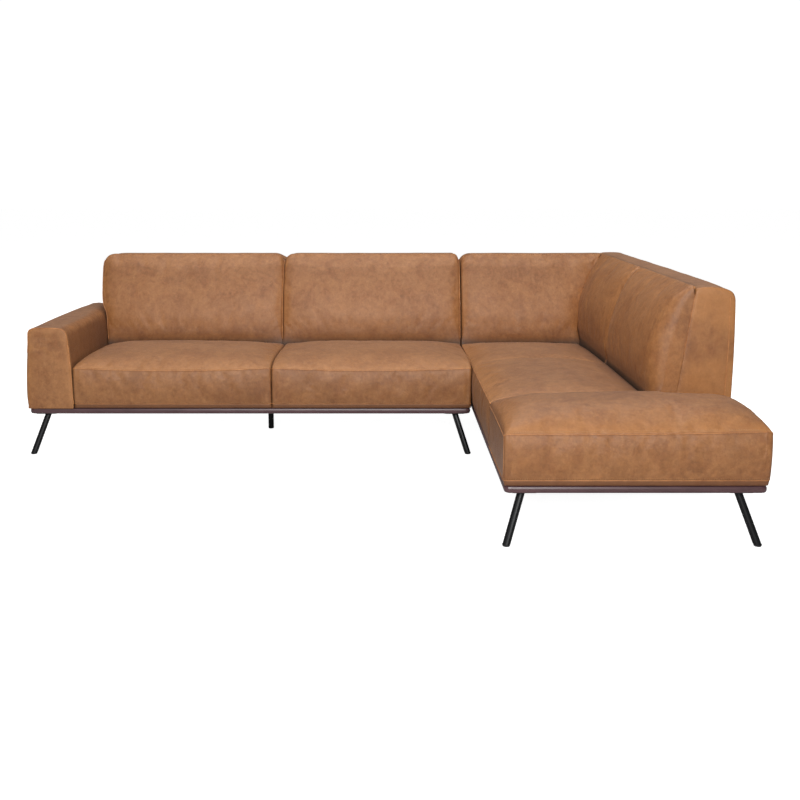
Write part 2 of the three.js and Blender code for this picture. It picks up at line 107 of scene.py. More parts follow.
# ------------------------------------------------------------------ lofted soft bodies
class Soft:
    """A closed body made of rings. Each ring is a loop of four sides: face (nz steps), top (nt), rear (nz), underside (nt)."""

    def __init__(self, name, nz, nt, rings, caps=("grid", "grid"), bulge=(0, 0)):
        self.name, self.nz, self.nt = name, nz, nt
        rings = np.asarray(rings, float)
        self.N, self.M = rings.shape[0], rings.shape[1]
        self.co = rings.reshape(-1, 3).copy()
        self.faces = []
        for i in range(self.N - 1):
            a, b = i * self.M, (i + 1) * self.M
            for m in range(self.M):
                n = (m + 1) % self.M
                self.faces.append((a + m, a + n, b + n, b + m))
        self.cap_index = []
        for end, kind in enumerate(caps):
            self.cap_index.append(self._cap(0 if end == 0 else self.N - 1, kind, bulge[end], end))

    def ring(self, i, m):
        return (i % self.N) * self.M + (m % self.M)

    def _cap(self, i, kind, bulge, end):
        base = i * self.M
        if kind == "ngon":
            loop = [base + m for m in range(self.M)]
            self.faces.append(tuple(loop if end else loop[::-1]))
            return None
        nz, nt = self.nz, self.nt
        idx = np.zeros((nz + 1, nt + 1), int)
        for k in range(nz + 1):
            idx[k, 0] = base + k
            idx[nz - k, nt] = base + nz + nt + k if nz + nt + k < self.M else base
        for j in range(nt + 1):
            idx[nz, j] = base + nz + j
            m = 2 * nz + nt + (nt - j)
            idx[0, j] = base + (m if m < self.M else 0)
        P = self.co
        c = {(k, j): P[idx[k, j]] for k in (0, nz) for j in (0, nt)}
        left, right = P[idx[:, 0]], P[idx[:, nt]]
        bot, top = P[idx[0, :]], P[idx[nz, :]]

        def frac(line):
            d = np.concatenate([[0], np.cumsum(np.linalg.norm(np.diff(line, axis=0), axis=1))])
            return d / max(d[-1], 1e-9)
        u = 0.5 * (frac(left) + frac(right))
        v = 0.5 * (frac(bot) + frac(top))
        nrm = np.cross(top[nt // 2] - bot[nt // 2], right[nz // 2] - left[nz // 2])
        nrm = nrm / max(np.linalg.norm(nrm), 1e-9)
        away = P[base:base + self.M].mean(0) - P[(base + self.M if i == 0 else base - self.M):][:self.M].mean(0)
        if nrm @ away < 0:
            nrm = -nrm
        extra = []
        for k in range(1, nz):
            for j in range(1, nt):
                p = ((1 - v[j]) * left[k] + v[j] * right[k] + (1 - u[k]) * bot[j] + u[k] * top[j]
                     - ((1 - u[k]) * (1 - v[j]) * c[0, 0] + (1 - u[k]) * v[j] * c[0, nt]
                        + u[k] * (1 - v[j]) * c[nz, 0] + u[k] * v[j] * c[nz, nt]))
                w = (16 * u[k] * (1 - u[k]) * v[j] * (1 - v[j])) ** 0.5
                idx[k, j] = len(self.co) + len(extra)
                extra.append(p + nrm * bulge * w)
        if extra:
            self.co = np.vstack([self.co, np.array(extra)])
        for k in range(nz):
            for j in range(nt):
                q = (idx[k, j], idx[k + 1, j], idx[k + 1, j + 1], idx[k, j + 1])
                self.faces.append(tuple(int(x) for x in (q if end else q[::-1])))
        return idx

    def build(self, material):
        me = bpy.data.meshes.new(self.name)
        me.from_pydata([tuple(v) for v in to_row(self.co)], [], [tuple(int(i) for i in f) for f in self.faces])
        bm = bmesh.new()
        bm.from_mesh(me)
        bmesh.ops.recalc_face_normals(bm, faces=bm.faces)
        bm.to_mesh(me)
        bm.free()
        for p in me.polygons:
            p.use_smooth = True
        me.materials.append(material)
        ob = bpy.data.objects.new(self.name, me)
        scene.collection.objects.link(ob)
        self.ob = ob
        return ob


def inset_open(pts, amount, n_open, window=4):
    """pts (M, 2) of a loop whose first n_open points are the visible run: each moves inwards by amount (M,)."""
    run = pts[:n_open]
    d = np.concatenate([[0], np.cumsum(np.linalg.norm(np.diff(run, axis=0), axis=1))])
    lo = np.stack([np.interp(d - window * 2.2, d, run[:, k]) for k in (0, 1)], 1)
    hi = np.stack([np.interp(d + window * 2.2, d, run[:, k]) for k in (0, 1)], 1)
    t = hi - lo
    t = t / np.maximum(np.linalg.norm(t, axis=1, keepdims=True), 1e-9)
    n = np.stack([-t[:, 1], t[:, 0]], 1)
    c = run.mean(0)
    if np.sum((c - run) * n) < 0:
        n = -n
    out = pts.copy()
    out[:n_open] += n * amount[:n_open, None]
    return out


def polyline(points, counts):
    """Points along a polyline, counts[i] steps on its i-th segment; leaves out the last point."""
    out = []
    for (a, b), n in zip(zip(points[:-1], points[1:]), counts):
        for i in range(n):
            out.append(np.asarray(a, float) + (np.asarray(b, float) - np.asarray(a, float)) * i / n)
    return out


# ------------------------------------------------------------------ materials
def new_material(name):
    m = bpy.data.materials.new(name)
    m.use_nodes = True
    nt = m.node_tree
    nt.nodes.clear()
    out = nt.nodes.new("ShaderNodeOutputMaterial")
    bs = nt.nodes.new("ShaderNodeBsdfPrincipled")
    nt.links.new(bs.outputs[0], out.inputs[0])
    tc = nt.nodes.new("ShaderNodeTexCoord")
    return m, nt, bs, tc.outputs["Object"]


def n_noise(nt, co, scale, detail=3.0, rough=0.55, distort=0.0, stretch=None):
    if stretch is not None:
        mp = nt.nodes.new("ShaderNodeMapping")
        mp.inputs["Scale"].default_value = stretch
        nt.links.new(co, mp.inputs["Vector"])
        co = mp.outputs[0]
    n = nt.nodes.new("ShaderNodeTexNoise")
    n.inputs["Scale"].default_value = scale
    n.inputs["Detail"].default_value = detail
    n.inputs["Roughness"].default_value = rough
    n.inputs["Distortion"].default_value = distort
    nt.links.new(co, n.inputs["Vector"])
    return n.outputs["Fac"]


def n_ramp(nt, fac, stops, smooth_it=True):
    r = nt.nodes.new("ShaderNodeValToRGB")
    if smooth_it:
        r.color_ramp.interpolation = "B_SPLINE"
    els = r.color_ramp.elements
    while len(els) < len(stops):
        els.new(0.5)
    for e, (p, c) in zip(els, stops):
        e.position = p
        e.color = (c, c, c, 1) if isinstance(c, (int, float)) else (c[0], c[1], c[2], 1)
    nt.links.new(fac, r.inputs[0])
    return r.outputs[0]


def n_mix(nt, fac, a, b, mode="MIX"):
    m = nt.nodes.new("ShaderNodeMix")
    m.data_type = "RGBA"
    m.blend_type = mode
    for sock, v in ((m.inputs[0], fac), (m.inputs[6], a), (m.inputs[7], b)):
        if isinstance(v, (int, float)):
            sock.default_value = v
        elif isinstance(v, tuple):
            sock.default_value = (v[0], v[1], v[2], 1)
        else:
            nt.links.new(v, sock)
    return m.outputs[2]


def n_math(nt, op, a, b=None, clamp=False):
    m = nt.nodes.new("ShaderNodeMath")
    m.operation = op
    m.use_clamp = clamp
    for sock, v in zip(m.inputs, (a, b)):
        if v is None:
            continue
        if isinstance(v, (int, float)):
            sock.default_value = v
        else:
            nt.links.new(v, sock)
    return m.outputs[0]


def n_bump(nt, height, strength, distance, normal=None):
    b = nt.nodes.new("ShaderNodeBump")
    b.inputs["Strength"].default_value = strength
    b.inputs["Distance"].default_value = distance
    nt.links.new(height, b.inputs["Height"])
    if normal is not None:
        nt.links.new(normal, b.inputs["Normal"])
    return b.outputs[0]


def leather_material(name, gain=0.88, use_wear=True):
    m, nt, bs, co = new_material(name)
    g = lambda c: (c[0] * gain * 0.835, c[1] * gain * 0.735, c[2] * gain * 0.585)
    big = n_noise(nt, co, 3.2, 4, 0.6, 0.4)
    mid = n_noise(nt, co, 16.0, 4, 0.55, 1.2)
    fine = n_noise(nt, co, 42.0, 4, 0.55, 0.9)
    streak = n_noise(nt, co, 48.0, 4, 0.6, 0.6, (1.0, 1.0, 0.42))
    patch = n_noise(nt, co, 7.0, 4, 0.65, 1.0)
    base = n_ramp(nt, big, [(0.30, g((0.270, 0.106, 0.038))), (0.50, g((0.395, 0.172, 0.064))), (0.66, g((0.465, 0.214, 0.086)))])
    c = n_mix(nt, n_math(nt, "MULTIPLY", n_ramp(nt, patch, [(0.42, 0.0), (0.60, 1.0)]), 0.80), base, g((0.475, 0.232, 0.100)))
    c = n_mix(nt, n_math(nt, "MULTIPLY", n_ramp(nt, patch, [(0.38, 1.0), (0.50, 0.0)]), 0.80), c, g((0.280, 0.110, 0.040)))
    blot = n_ramp(nt, mid, [(0.42, 0.0), (0.64, 1.0)])
    c = n_mix(nt, n_math(nt, "MULTIPLY", blot, 0.50), c, g((0.500, 0.245, 0.105)))
    dark = n_ramp(nt, fine, [(0.34, 1.0), (0.48, 0.0)])
    c = n_mix(nt, n_math(nt, "MULTIPLY", dark, 0.45), c, g((0.245, 0.098, 0.036)))
    # fine pale and dark wrinkle lines of the hide
    for scale, tone, amount in ((11.0, (0.600, 0.330, 0.165), 0.30), (8.0, (0.200, 0.078, 0.028), 0.34)):
        vein = n_ramp(nt, n_noise(nt, co, scale, 5, 0.62, 1.6), [(0.478, 0.0), (0.500, 1.0), (0.522, 0.0)])
        where = n_ramp(nt, n_noise(nt, co, scale * 0.8, 2, 0.5, 0.3), [(0.50, 0.0), (0.62, 1.0)])
        c = n_mix(nt, n_math(nt, "MULTIPLY", n_math(nt, "MULTIPLY", vein, where), amount), c, g(tone))
    st = n_ramp(nt, streak, [(0.50, 0.0), (0.72, 1.0)])
    c = n_mix(nt, n_math(nt, "MULTIPLY", st, 0.50), c, g((0.560, 0.290, 0.135)))
    grain = n_noise(nt, co, 62.0, 6, 0.78, 0.5)
    c = n_mix(nt, 1.0, c, n_math(nt, "ADD", n_math(nt, "MULTIPLY", grain, 1.10), 0.45), "MULTIPLY")
    if use_wear:
        # real wear on the edges, plus painted highlights: this attribute mixes the leather toward a paler orange
        at = nt.nodes.new("ShaderNodeAttribute")
        at.attribute_name = "wear"
        w = n_math(nt, "MULTIPLY", at.outputs["Fac"], n_ramp(nt, mid, [(0.25, 0.45), (0.65, 1.0)]))
        c = n_mix(nt, n_math(nt, "MULTIPLY", w, 0.75, True), c, g((0.620, 0.300, 0.112)))
        # painted shade in recesses, at junctions and on faces turned from the light, plus random mottle: this attribute
        # mixes toward dark brown
        ag = nt.nodes.new("ShaderNodeAttribute")
        ag.attribute_name = "grime"
        c = n_mix(nt, n_math(nt, "MULTIPLY", ag.outputs["Fac"], 0.76, True), c, g((0.165, 0.066, 0.026)))
        # painted shadow: near-black where parts run in under or against each other
        ad = nt.nodes.new("ShaderNodeAttribute")
        ad.attribute_name = "deep"
        c = n_mix(nt, n_math(nt, "MULTIPLY", ad.outputs["Fac"], 0.90, True), c, (0.020, 0.009, 0.004))
    # painted sheen: faces turned upwards are mixed toward a paler grey
    geo = nt.nodes.new("ShaderNodeNewGeometry")
    sep = nt.nodes.new("ShaderNodeSeparateXYZ")
    nt.links.new(geo.outputs["Normal"], sep.inputs[0])
    up = n_ramp(nt, sep.outputs["Z"], [(0.88, 0.0), (0.995, 1.0)])
    c = n_mix(nt, n_math(nt, "MULTIPLY", up, 0.10), c, (0.400, 0.360, 0.330))
    nt.links.new(c, bs.inputs["Base Color"])
    nt.links.new(n_ramp(nt, mid, [(0.3, 0.54), (0.7, 0.44)]), bs.inputs["Roughness"])
    bs.inputs["Specular IOR Level"].default_value = 0.50
    bs.inputs["Sheen Weight"].default_value = 0.025
    bs.inputs["Sheen Roughness"].default_value = 0.42
    vor = nt.nodes.new("ShaderNodeTexVoronoi")
    vor.feature = "DISTANCE_TO_EDGE"
    vor.inputs["Scale"].default_value = 520.0
    vor.inputs["Randomness"].default_value = 1.0
    nt.links.new(co, vor.inputs["Vector"])
    cell = n_ramp(nt, vor.outputs["Distance"], [(0.0, 0.0), (0.16, 1.0)])
    pore = n_noise(nt, co, 1400.0, 2, 0.6)
    creas = n_noise(nt, co, 38.0, 6, 0.7, 1.2)
    n1 = n_bump(nt, creas, 0.30, 0.004)
    n2 = n_bump(nt, cell, 0.30, 0.0006, n1)
    n3 = n_bump(nt, pore, 0.15, 0.0003, n2)
    nt.links.new(n3, bs.inputs["Normal"])
    return m


def plain_material(name, base, dark, rough, scale, metal=0.0, bump=0.1, dist=0.0005, stretch=None, coat=0.0, spec=0.5):
    m, nt, bs, co = new_material(name)
    n = n_noise(nt, co, scale, 5, 0.6, 0.3, stretch)
    n2 = n_noise(nt, co, scale * 7, 3, 0.6, 0.0, stretch)
    c = n_mix(nt, n_ramp(nt, n, [(0.35, 0.0), (0.65, 1.0)]), dark, base)
    c = n_mix(nt, n_math(nt, "MULTIPLY", n_ramp(nt, n2, [(0.4, 0.0), (0.7, 1.0)]), 0.25), c, tuple(min(1, v * 1.25) for v in base))
    nt.links.new(c, bs.inputs["Base Color"])
    nt.links.new(n_ramp(nt, n2, [(0.3, rough + 0.06), (0.7, rough - 0.05)]), bs.inputs["Roughness"])
    bs.inputs["Metallic"].default_value = metal
    bs.inputs["Specular IOR Level"].default_value = spec
    bs.inputs["Coat Weight"].default_value = coat
    bs.inputs["Coat Roughness"].default_value = 0.3
    nt.links.new(n_bump(nt, n2, bump, dist), bs.inputs["Normal"])
    return m


LEATHER = leather_material("leather_tan")
LEATHER_EDGE = leather_material("leather_edge", 1.34, False)
THREAD = plain_material("thread_tan", (0.50, 0.29, 0.14), (0.36, 0.19, 0.085), 0.65, 900, bump=0.4, dist=0.0003)


# ------------------------------------------------------------------ upholstery
REAR_Y, RIGHT_X = 873.0, 1235.0
SEAM_Z = 372.6
CROWN = curve([0, .015, .05, .12, .24, .38, .52, .68, .82, 1], [0, .19, .42, .66, .88, .985, 1, .93, .74, .40])
PAD = np.array([[299, 304.2], [299, 360], [293, 405], [282, 460], [266, 540], [250, 605], [228, 668], [205, 725],
                [186, 768], [166, 793], [148, 800], [137, 796], [135.4, 786], [190.4, 400], [190.4, 304.2]], float)
PAD_FACE = curve(PAD[:9, 1], PAD[:9, 0])


def seat_ring(seam_z, top_z, depth, bulge, full=False, under=303.6, skirt=26.0, nz=30, nt=48):
    """One ring of a seat in (depth, height): top_z(t) gives the height over the seam."""
    zs = [201, 203.5, 208, 214, 218.6, 220.4, 222.4, 226, 232, 240]
    hi = [seam_z - 34, seam_z - 24, seam_z - 16, seam_z - 9, seam_z - 4.5, seam_z - 1.9]
    mid = list(np.linspace(240, seam_z - 34, nz - len(zs) - len(hi) + 2))[1:-1]
    zf = np.array(zs + mid + hi)
    sh = curve([201, 202.5, 206, 214, 218.6, 220.4, 222.4, 228, 240, 300, 345, 362, seam_z - 1.9],
               [9.5, 7.2, 5.4, 4.0, 4.2, 5.4, 2.4, 0.8, -1.0, -3.0 - bulge, -2.6 - bulge * .8, -0.8 - bulge * .3, 1.3])
    face = [(sh(z), z) for z in zf]
    h15 = top_z(.015)
    top = [(3.4, seam_z), (1.7, seam_z + .16 * h15), (2.6, seam_z + .46 * h15), (4.9, seam_z + .76 * h15)]
    ts = np.concatenate([[.015, .024, .036, .052, .072, .096], np.linspace(.12, .985, nt - 12), [.996, .9995]])
    for t in ts:
        a = t * depth
        z = seam_z + top_z(t)
        e = depth - a
        if e < 9:
            z -= 9 - math.sqrt(max(0.0, 81 - (9 - e) ** 2))
        top.append((a, z))
    zr = top[-1][1] - 3
    if full:
        rz = 201 + (zf - 201) * (zr - 201) / (zf[-1] + 3 - 201)
        rear = [(depth, z) for z in rz[::-1]]
        return np.array([tuple(p) for p in face + top + rear + polyline([(depth - 5.0, 201.0), (6.5, 201.0)], [nt])], float), nz, nt
    rear = [(depth, zr + (under - zr) * i / nz) for i in range(nz)]
    b1 = polyline([(depth, under), (skirt, under)], [nt - 8])
    b2 = polyline([(skirt, under), (skirt, 201.0)], [6])
    b3 = polyline([(skirt, 201.0), (6.5, 201.0)], [2])
    return np.array([tuple(p) for p in face + top + rear + b1 + b2 + b3], float), nz, nt


def ring_weights(nz, nt, face=1.0, top=1.0, rear=0.6, under=0.0):
    w = np.concatenate([np.full(nz, face), np.full(nt, top), np.full(nz, rear), np.full(nt, under)])
    return w


def corner_drop(x, w, h):
    """How far a rounded top corner w wide and h high has come down at distance x from the end."""
    return 0.0 if w <= 0 or x >= w else h * (1 - math.sqrt(max(0.0, 1 - (1 - x / w) ** 2)))


def make_soft(name, stations, ring_at, place, r0, r1, weights, caps=("grid", "grid"), bulge=(0, 0), fix=None, corners=None, corner_from=500.0):
    """Loft ring_at(s) over the stations, its ends rounded by r0 and r1 (one radius, or one per ring point)."""
    rings, nz, nt = [], None, None
    s0, s1 = stations[0], stations[-1]
    for s in stations:
        pts, nz, nt = ring_at(s)
        if corners is not None:
            dr = max(corner_drop(s - s0, *corners[0]), corner_drop(s1 - s, *corners[1]))
            pts[:, 1] -= dr * np.clip((pts[:, 1] - corner_from) / (pts[:, 1].max() - corner_from), 0, 1) ** 1.5
        amt = np.maximum(round_in(s - s0, np.asarray(r0, float) * np.ones(len(pts))),
                         round_in(s1 - s, np.asarray(r1, float) * np.ones(len(pts))))
        pts = inset_open(pts, amt * weights, 2 * nz + nt)
        if fix is not None:
            pts = fix(s, pts)
        rings.append(place(s, pts))
    sf = Soft(name, nz, nt, rings, caps, bulge)
    sf.stations = np.asarray(stations, float)
    return sf


ENDS = (0, .8, 2.2, 4.5, 8, 13, 20, 30, 42)


def seat_piece(name, s0, s1, depth, place, edge0, edge1, seam, crown=51.0, bulge=0.0, r0=11.0, r1=11.0, step=14.0, walls=False, caps_out=(0, 0), g=None):
    """edge0 and edge1 give how much of the crown is left at each end, by depth fraction."""
    g = g or curve([0, 12, 35, 75, 140, 280, 410], [0, .16, .35, .55, .76, .94, 1])
    ends = (0, .8, 2.2, 4.5, 8, 13, 20, 25.8, 26.4, 32, 42) if walls else ENDS
    sts = spread(s0, s1, step, ends, ends)

    def ring_at(s):
        d0, d1 = s - s0, s1 - s
        sz = seam(s)

        def top_z(t):
            f = min(edge0(t) + (1 - edge0(t)) * g(d0), edge1(t) + (1 - edge1(t)) * g(d1))
            return crown * float(CROWN(t)) * float(f)
        return seat_ring(sz, top_z, depth(s) if callable(depth) else depth, bulge, walls and min(d0, d1) < 26)
    nz, nt = 30, 48
    w = ring_weights(nz, nt)
    w[:4] = [0.2, .6, .9, 1]
    w[2 * nz + nt:] = 0
    w[nz + nt:2 * nz + nt] = np.linspace(.8, 0, nz)
    sf = make_soft(name, sts, ring_at, place, r0, r1, w, bulge=caps_out)
    sf.seam_m, sf.low_m = nz, 5
    m = np.arange(sf.M)
    side = np.where(m < nz, 0.35 * np.exp(-np.abs(nz - m) / 2.0), np.where(m < nz + nt, np.exp(-np.abs(m - nz - 3) / 5.0), 0))
    d = np.minimum(sf.stations - s0, s1 - sf.stations)
    sf.wear = np.zeros(len(sf.co))
    sf.grime = np.zeros(len(sf.co))
    top_m = (m >= nz - 8) & (m < nz + nt - 6)
    sf.wear[:sf.N * sf.M] = np.clip(side[None, :] * 0.9 + np.exp(-d / 16.0)[:, None] * 0.55 * top_m[None, :], 0, 1).ravel()
    # painted shade: darker where the top runs in under the back cushions, next to the neighbouring seats, on the inset
    # lower band and along the seam rows
    back = np.clip((m - (nz + nt - 9)) / 7.0, 0, 1) * (m < nz + nt + 3)
    deep = np.where((m > 6) & (m < nz + nt), np.exp(-d / 5.0)[:, None] * 0.7, 0)
    band = np.where(m < 5, 1.0, 0.0) + np.where(m == nz, 0.75, 0.0) + np.where(m == nz - 1, 0.4, 0.0) + np.where(m == 6, 0.4, 0.0)
    sf.grime[:sf.N * sf.M] = np.clip(back[None, :] * 0.7 + deep + band[None, :], 0, 1).ravel()
    # painted shadow line along the rear edge, where the seat runs in under the back cushions
    rear_edge = np.clip((m - (nz + nt - 4)) / 3.0, 0, 1) * (m < nz + nt + 6)
    sf.deep = np.zeros(len(sf.co))
    sf.deep[:sf.N * sf.M] = np.tile(rear_edge, sf.N)
    return sf


def bow(s0, s1, lift, base=SEAM_Z, slope=0.0):
    def f(s):
        u = (2 * s - s0 - s1) / (s1 - s0)
        return base + lift * u * u + slope * u
    return f


BULGE_REAR = curve([304, 385, 405, 430, 458, 490, 540, 600, 660, 720, 760, 790], [0, .14, .42, .76, .97, 1, .84, .58, .38, .24, .12, 0])
BULGE_RIGHT = curve([304, 425, 470, 520, 570, 640, 700, 755, 790], [0, 0, .22, .62, .92, 1, .90, .58, 0])


def low(z):
    """The right-hand cushions stand back a little where they meet the seats."""
    return 20.0 * (1 - smooth(z, 385, 462))


def back_ring(bulge_amt, nz=34, nt=18, right=False):
    bz = BULGE_RIGHT if right else BULGE_REAR
    lean = (lambda z: PAD_FACE(z) - low(z)) if right else PAD_FACE
    zf = np.concatenate([np.linspace(304.2, 400, 6)[:-1], np.linspace(400, 736, nz - 5)[:-1], [736 + 0.0]])[:nz]
    face = [(float(lean(z)) + bulge_amt * float(bz(z)), z) for z in zf]
    c = curve([0, .14, .3, .48, .66, .80, .90, 1.0], [205 - 5, 192, 181, 168, 156, 147, 141, 136.4])
    h = curve([0, .14, .3, .48, .66, .80, .90, 1.0], [738, 757, 775, 789.5, 797.4, 800, 798.6, 790.5])
    top = []
    for j in range(nt):
        u = j / nt
        top.append((float(c(u)) + bulge_amt * float(bz(min(790.0, h(u)))), float(h(u))))
    zr = np.linspace(785, 304.2, nz + 1)[:-1]
    rear = [(135.4 + (190.4 - 135.4) * min(1.0, (785 - z) / 385.0), z) for z in zr]
    under = polyline([(190.4, 304.2), (299.0, 304.2)], [nt])
    rear = rear[:nz]
    return np.array([tuple(p) for p in face + top + rear + under], float), nz, nt


def back_piece(name, s0, s1, place, r_side, corners, amount=23.0, ends=(0.0, 0.0), g=None, step=14.0, fix=None, extra=(0, 0), right=False):
    """A back cushion: r_side are the radii of its two ends in plan, corners the (width, height) of its two top corners."""
    nz, nt = 34, 18
    gg = g or curve([0, 14, 40, 100, 190, 300], [0, .26, .50, .80, .95, 1])
    head = tuple(v for v in (0, .8, 2.2, 4.5, 8, 13, 19, 26, 34, 44, 56))
    sts = spread(s0, s1, step, head, head)

    def ring_at(s):
        b0 = ends[0] + (1 - ends[0]) * float(gg(s - s0))
        b1 = ends[1] + (1 - ends[1]) * float(gg(s1 - s))
        return back_ring(amount * min(b0, b1), nz, nt, right)

    z_face = back_ring(0.0, nz, nt)[0][:nz, 1]

    def radii(rs):
        face = np.minimum(float(rs), 0.52 * (PAD_D(z_face) - SHELL_D(z_face)))
        return np.concatenate([face, np.linspace(face[-1], min(face[-1], 9.0), nt), np.linspace(min(face[-1], 9.0), 4, nz), np.full(nt, 0.0)])
    w = ring_weights(nz, nt, 1, 1, 1, 0)
    w[:7] = np.linspace(.0, 1, 7)
    w[nz + nt:2 * nz + nt] = np.linspace(1, 0, nz)
    sf = make_soft(name, sts, ring_at, place, radii(r_side[0]), radii(r_side[1]), w, fix=fix, bulge=extra, corners=corners, corner_from=560.0)
    m = np.arange(sf.M)
    d = np.minimum(sf.stations - s0, s1 - sf.stations)
    sf.wear = np.zeros(len(sf.co))
    sf.grime = np.zeros(len(sf.co))
    crest = np.exp(-np.abs(m - nz - nt + 5) / 4.0) * (m < nz + nt)
    show = np.where((sf.stations - s0 < 90) & (r_side[0] > 40), 0.0, 1.0)
    sf.wear[:sf.N * sf.M] = np.clip(crest[None, :] * .30 * show[:, None] + (show * np.exp(-np.abs(d - 13) / 7.0))[:, None] * .30 * ((m > 8) & (m < nz + nt))[None, :], 0, 1).ravel()
    # painted shade: darker at the foot where the seat meets the cushion, and near the ends between cushions
    foot = np.clip((11 - m) / 5.0, 0, 1)
    gap = (show * np.exp(-d / 5.0))[:, None] * .65 * ((m > 4) & (m < nz + nt - 4))[None, :]
    sf.deep = np.zeros(len(sf.co))
    base_line = np.interp(m, [4.0, 5.0, 6.0], [1, .75, 0] if right else [.8, .35, 0])      # painted shadow line where the seats run in under the cushions
    if right:
        foot = foot * 1.4
        # painted shadow line along the rear of the top, against the shell
        base_line = np.maximum(base_line, np.interp(m, [nz + nt - 2, nz + nt - 1, nz + nt, nz + nt + 1], [0, .6, .6, 0]))
    sf.deep[:sf.N * sf.M] = np.tile(base_line, sf.N)
    sf.grime[:sf.N * sf.M] = np.clip(foot[None, :] * .34 + gap, 0, 1).ravel()
    return sf


place_A = lambda s, p: np.stack([np.full(len(p), s), p[:, 0], p[:, 1]], 1)              # seats of the left unit: s = X, depth = Y
place_AB = lambda s, p: np.stack([np.full(len(p), s), REAR_Y - p[:, 0], p[:, 1]], 1)    # rear backs: s = X, depth forward from the rear
place_R = lambda s, p: np.stack([RIGHT_X - p[:, 0], np.full(len(p), s), p[:, 1]], 1)    # right backs: s = Y
place_S = lambda s, p: np.stack([386.5 + p[:, 0], np.full(len(p), s), p[:, 1]], 1)      # corner and middle seats: s = Y, depth = X
place_F = lambda s, p: np.stack([np.full(len(p), s), -1004 + p[:, 0], p[:, 1]], 1)      # front seat: s = X

lin = lambda xs, ys: (lambda v: np.interp(v, xs, ys))
ARM_IN = lin([201, 300, 420, 470, 500, 520, 535, 545, 549, 900], [-1304.6, -1306.6, -1311.6, -1315.8, -1316.4, -1322, -1332, -1348, -1360, -1360])
B1_LEFT = curve([300, 430, 500, 530, 552, 585, 640, 720, 800], [-1312, -1323, -1328.6, -1333, -1344, -1352, -1356, -1361, -1365])
SHELL_D = lin([304, 400, 785, 800], [190.4, 190.4, 135.4, 135.4])
PAD_D = lin([300, 360, 405, 460, 540, 605, 668, 725, 768, 793, 800], [299, 299, 293, 282, 266, 250, 228, 205, 186, 166, 148])


def between(lo, hi, s0, s1, kind):
    """A placer whose two ends are slanted: lo(z) and hi(z) are where the ends lie at height z."""
    def place(s, p):
        u = (s - s0) / (s1 - s0)
        z = p[:, 1]
        e = lo(z) + (hi(z) - lo(z)) * u
        if kind == "X":
            return np.stack([e, REAR_Y - p[:, 0], z], 1)
        return np.stack([RIGHT_X - p[:, 0], e, z], 1)
    return place


const = lambda v: (lambda z: np.full(np.shape(z), float(v)))


def shell_ring(out=4.0, nz=40, nt=18, dip=0.0, front=0.0, full=0.0, wall=False):
    zf = np.concatenate([[201, 203, 207, 213, 218.4, 220.4, 222.6, 227], np.linspace(236, 500, 13), np.linspace(512, 556, 7), np.linspace(575, 760, nz - 28)])
    b = curve([201, 203, 207, 218.4, 220.4, 222.6, 236, 330, 560, 700, 755], [-5.5, -3.2, -2.2, -2.6, -4.4, -1.6, 0, out, out, .5 * out, 0])
    face = [(-float(b(z)) - full * float(np.interp(z, [201, 300, 520, 755], [0, .3, 1, 1])), z) for z in zf]
    outline = np.array([[0.4, 764], [3.4, 775], [8, 783], [15, 788.5], [28, 793.5], [44, 795], [60, 795.6], [80, 795.8], [98, 795.4], [110, 794.6],
                        [118, 793.6], [124, 792.2], [128, 790.6], [131, 788.8], [133, 787.2], [134.3, 785.6], [135, 784], [135.4, 782]], float)
    outline[:, 0] -= full * np.clip((30 - outline[:, 0]) / 30.0, 0, 1)
    if front > 0:
        outline[:, 1] -= front * np.clip((70 - outline[:, 0]) / 50.0, 0, 1)
    outline[:, 1] -= dip
    zr = np.linspace(780 - dip, 304.2, nz + 1)[:-1]
    if wall:        # an end that is closed right down to the plinth
        zr = np.linspace(780 - dip, 201.0, nz + 1)[:-1]
    rear = [(float(SHELL_D(z)), z) for z in zr]
    if dip > 0 or front > 0:
        zlim = outline[0, 1] - 6
        face = [(d, min(z, zlim - 2.0 * (nz - 1 - i)) if i > nz - 9 else z) for i, (d, z) in enumerate(face)]
    if wall:
        return np.array([tuple(p) for p in face + list(map(tuple, outline)) + rear + polyline([(186.0, 201.0), (5.5, 201.0)], [nt])], float), nz, nt
    u1 = polyline([(190.4, 304.2), (26, 304.2)], [nt - 8])
    u2 = polyline([(26, 304.2), (26, 201)], [6])
    u3 = polyline([(26, 201), (5.5, 201)], [2])
    return np.array([tuple(p) for p in face + list(map(tuple, outline)) + rear + u1 + u2 + u3], float), nz, nt


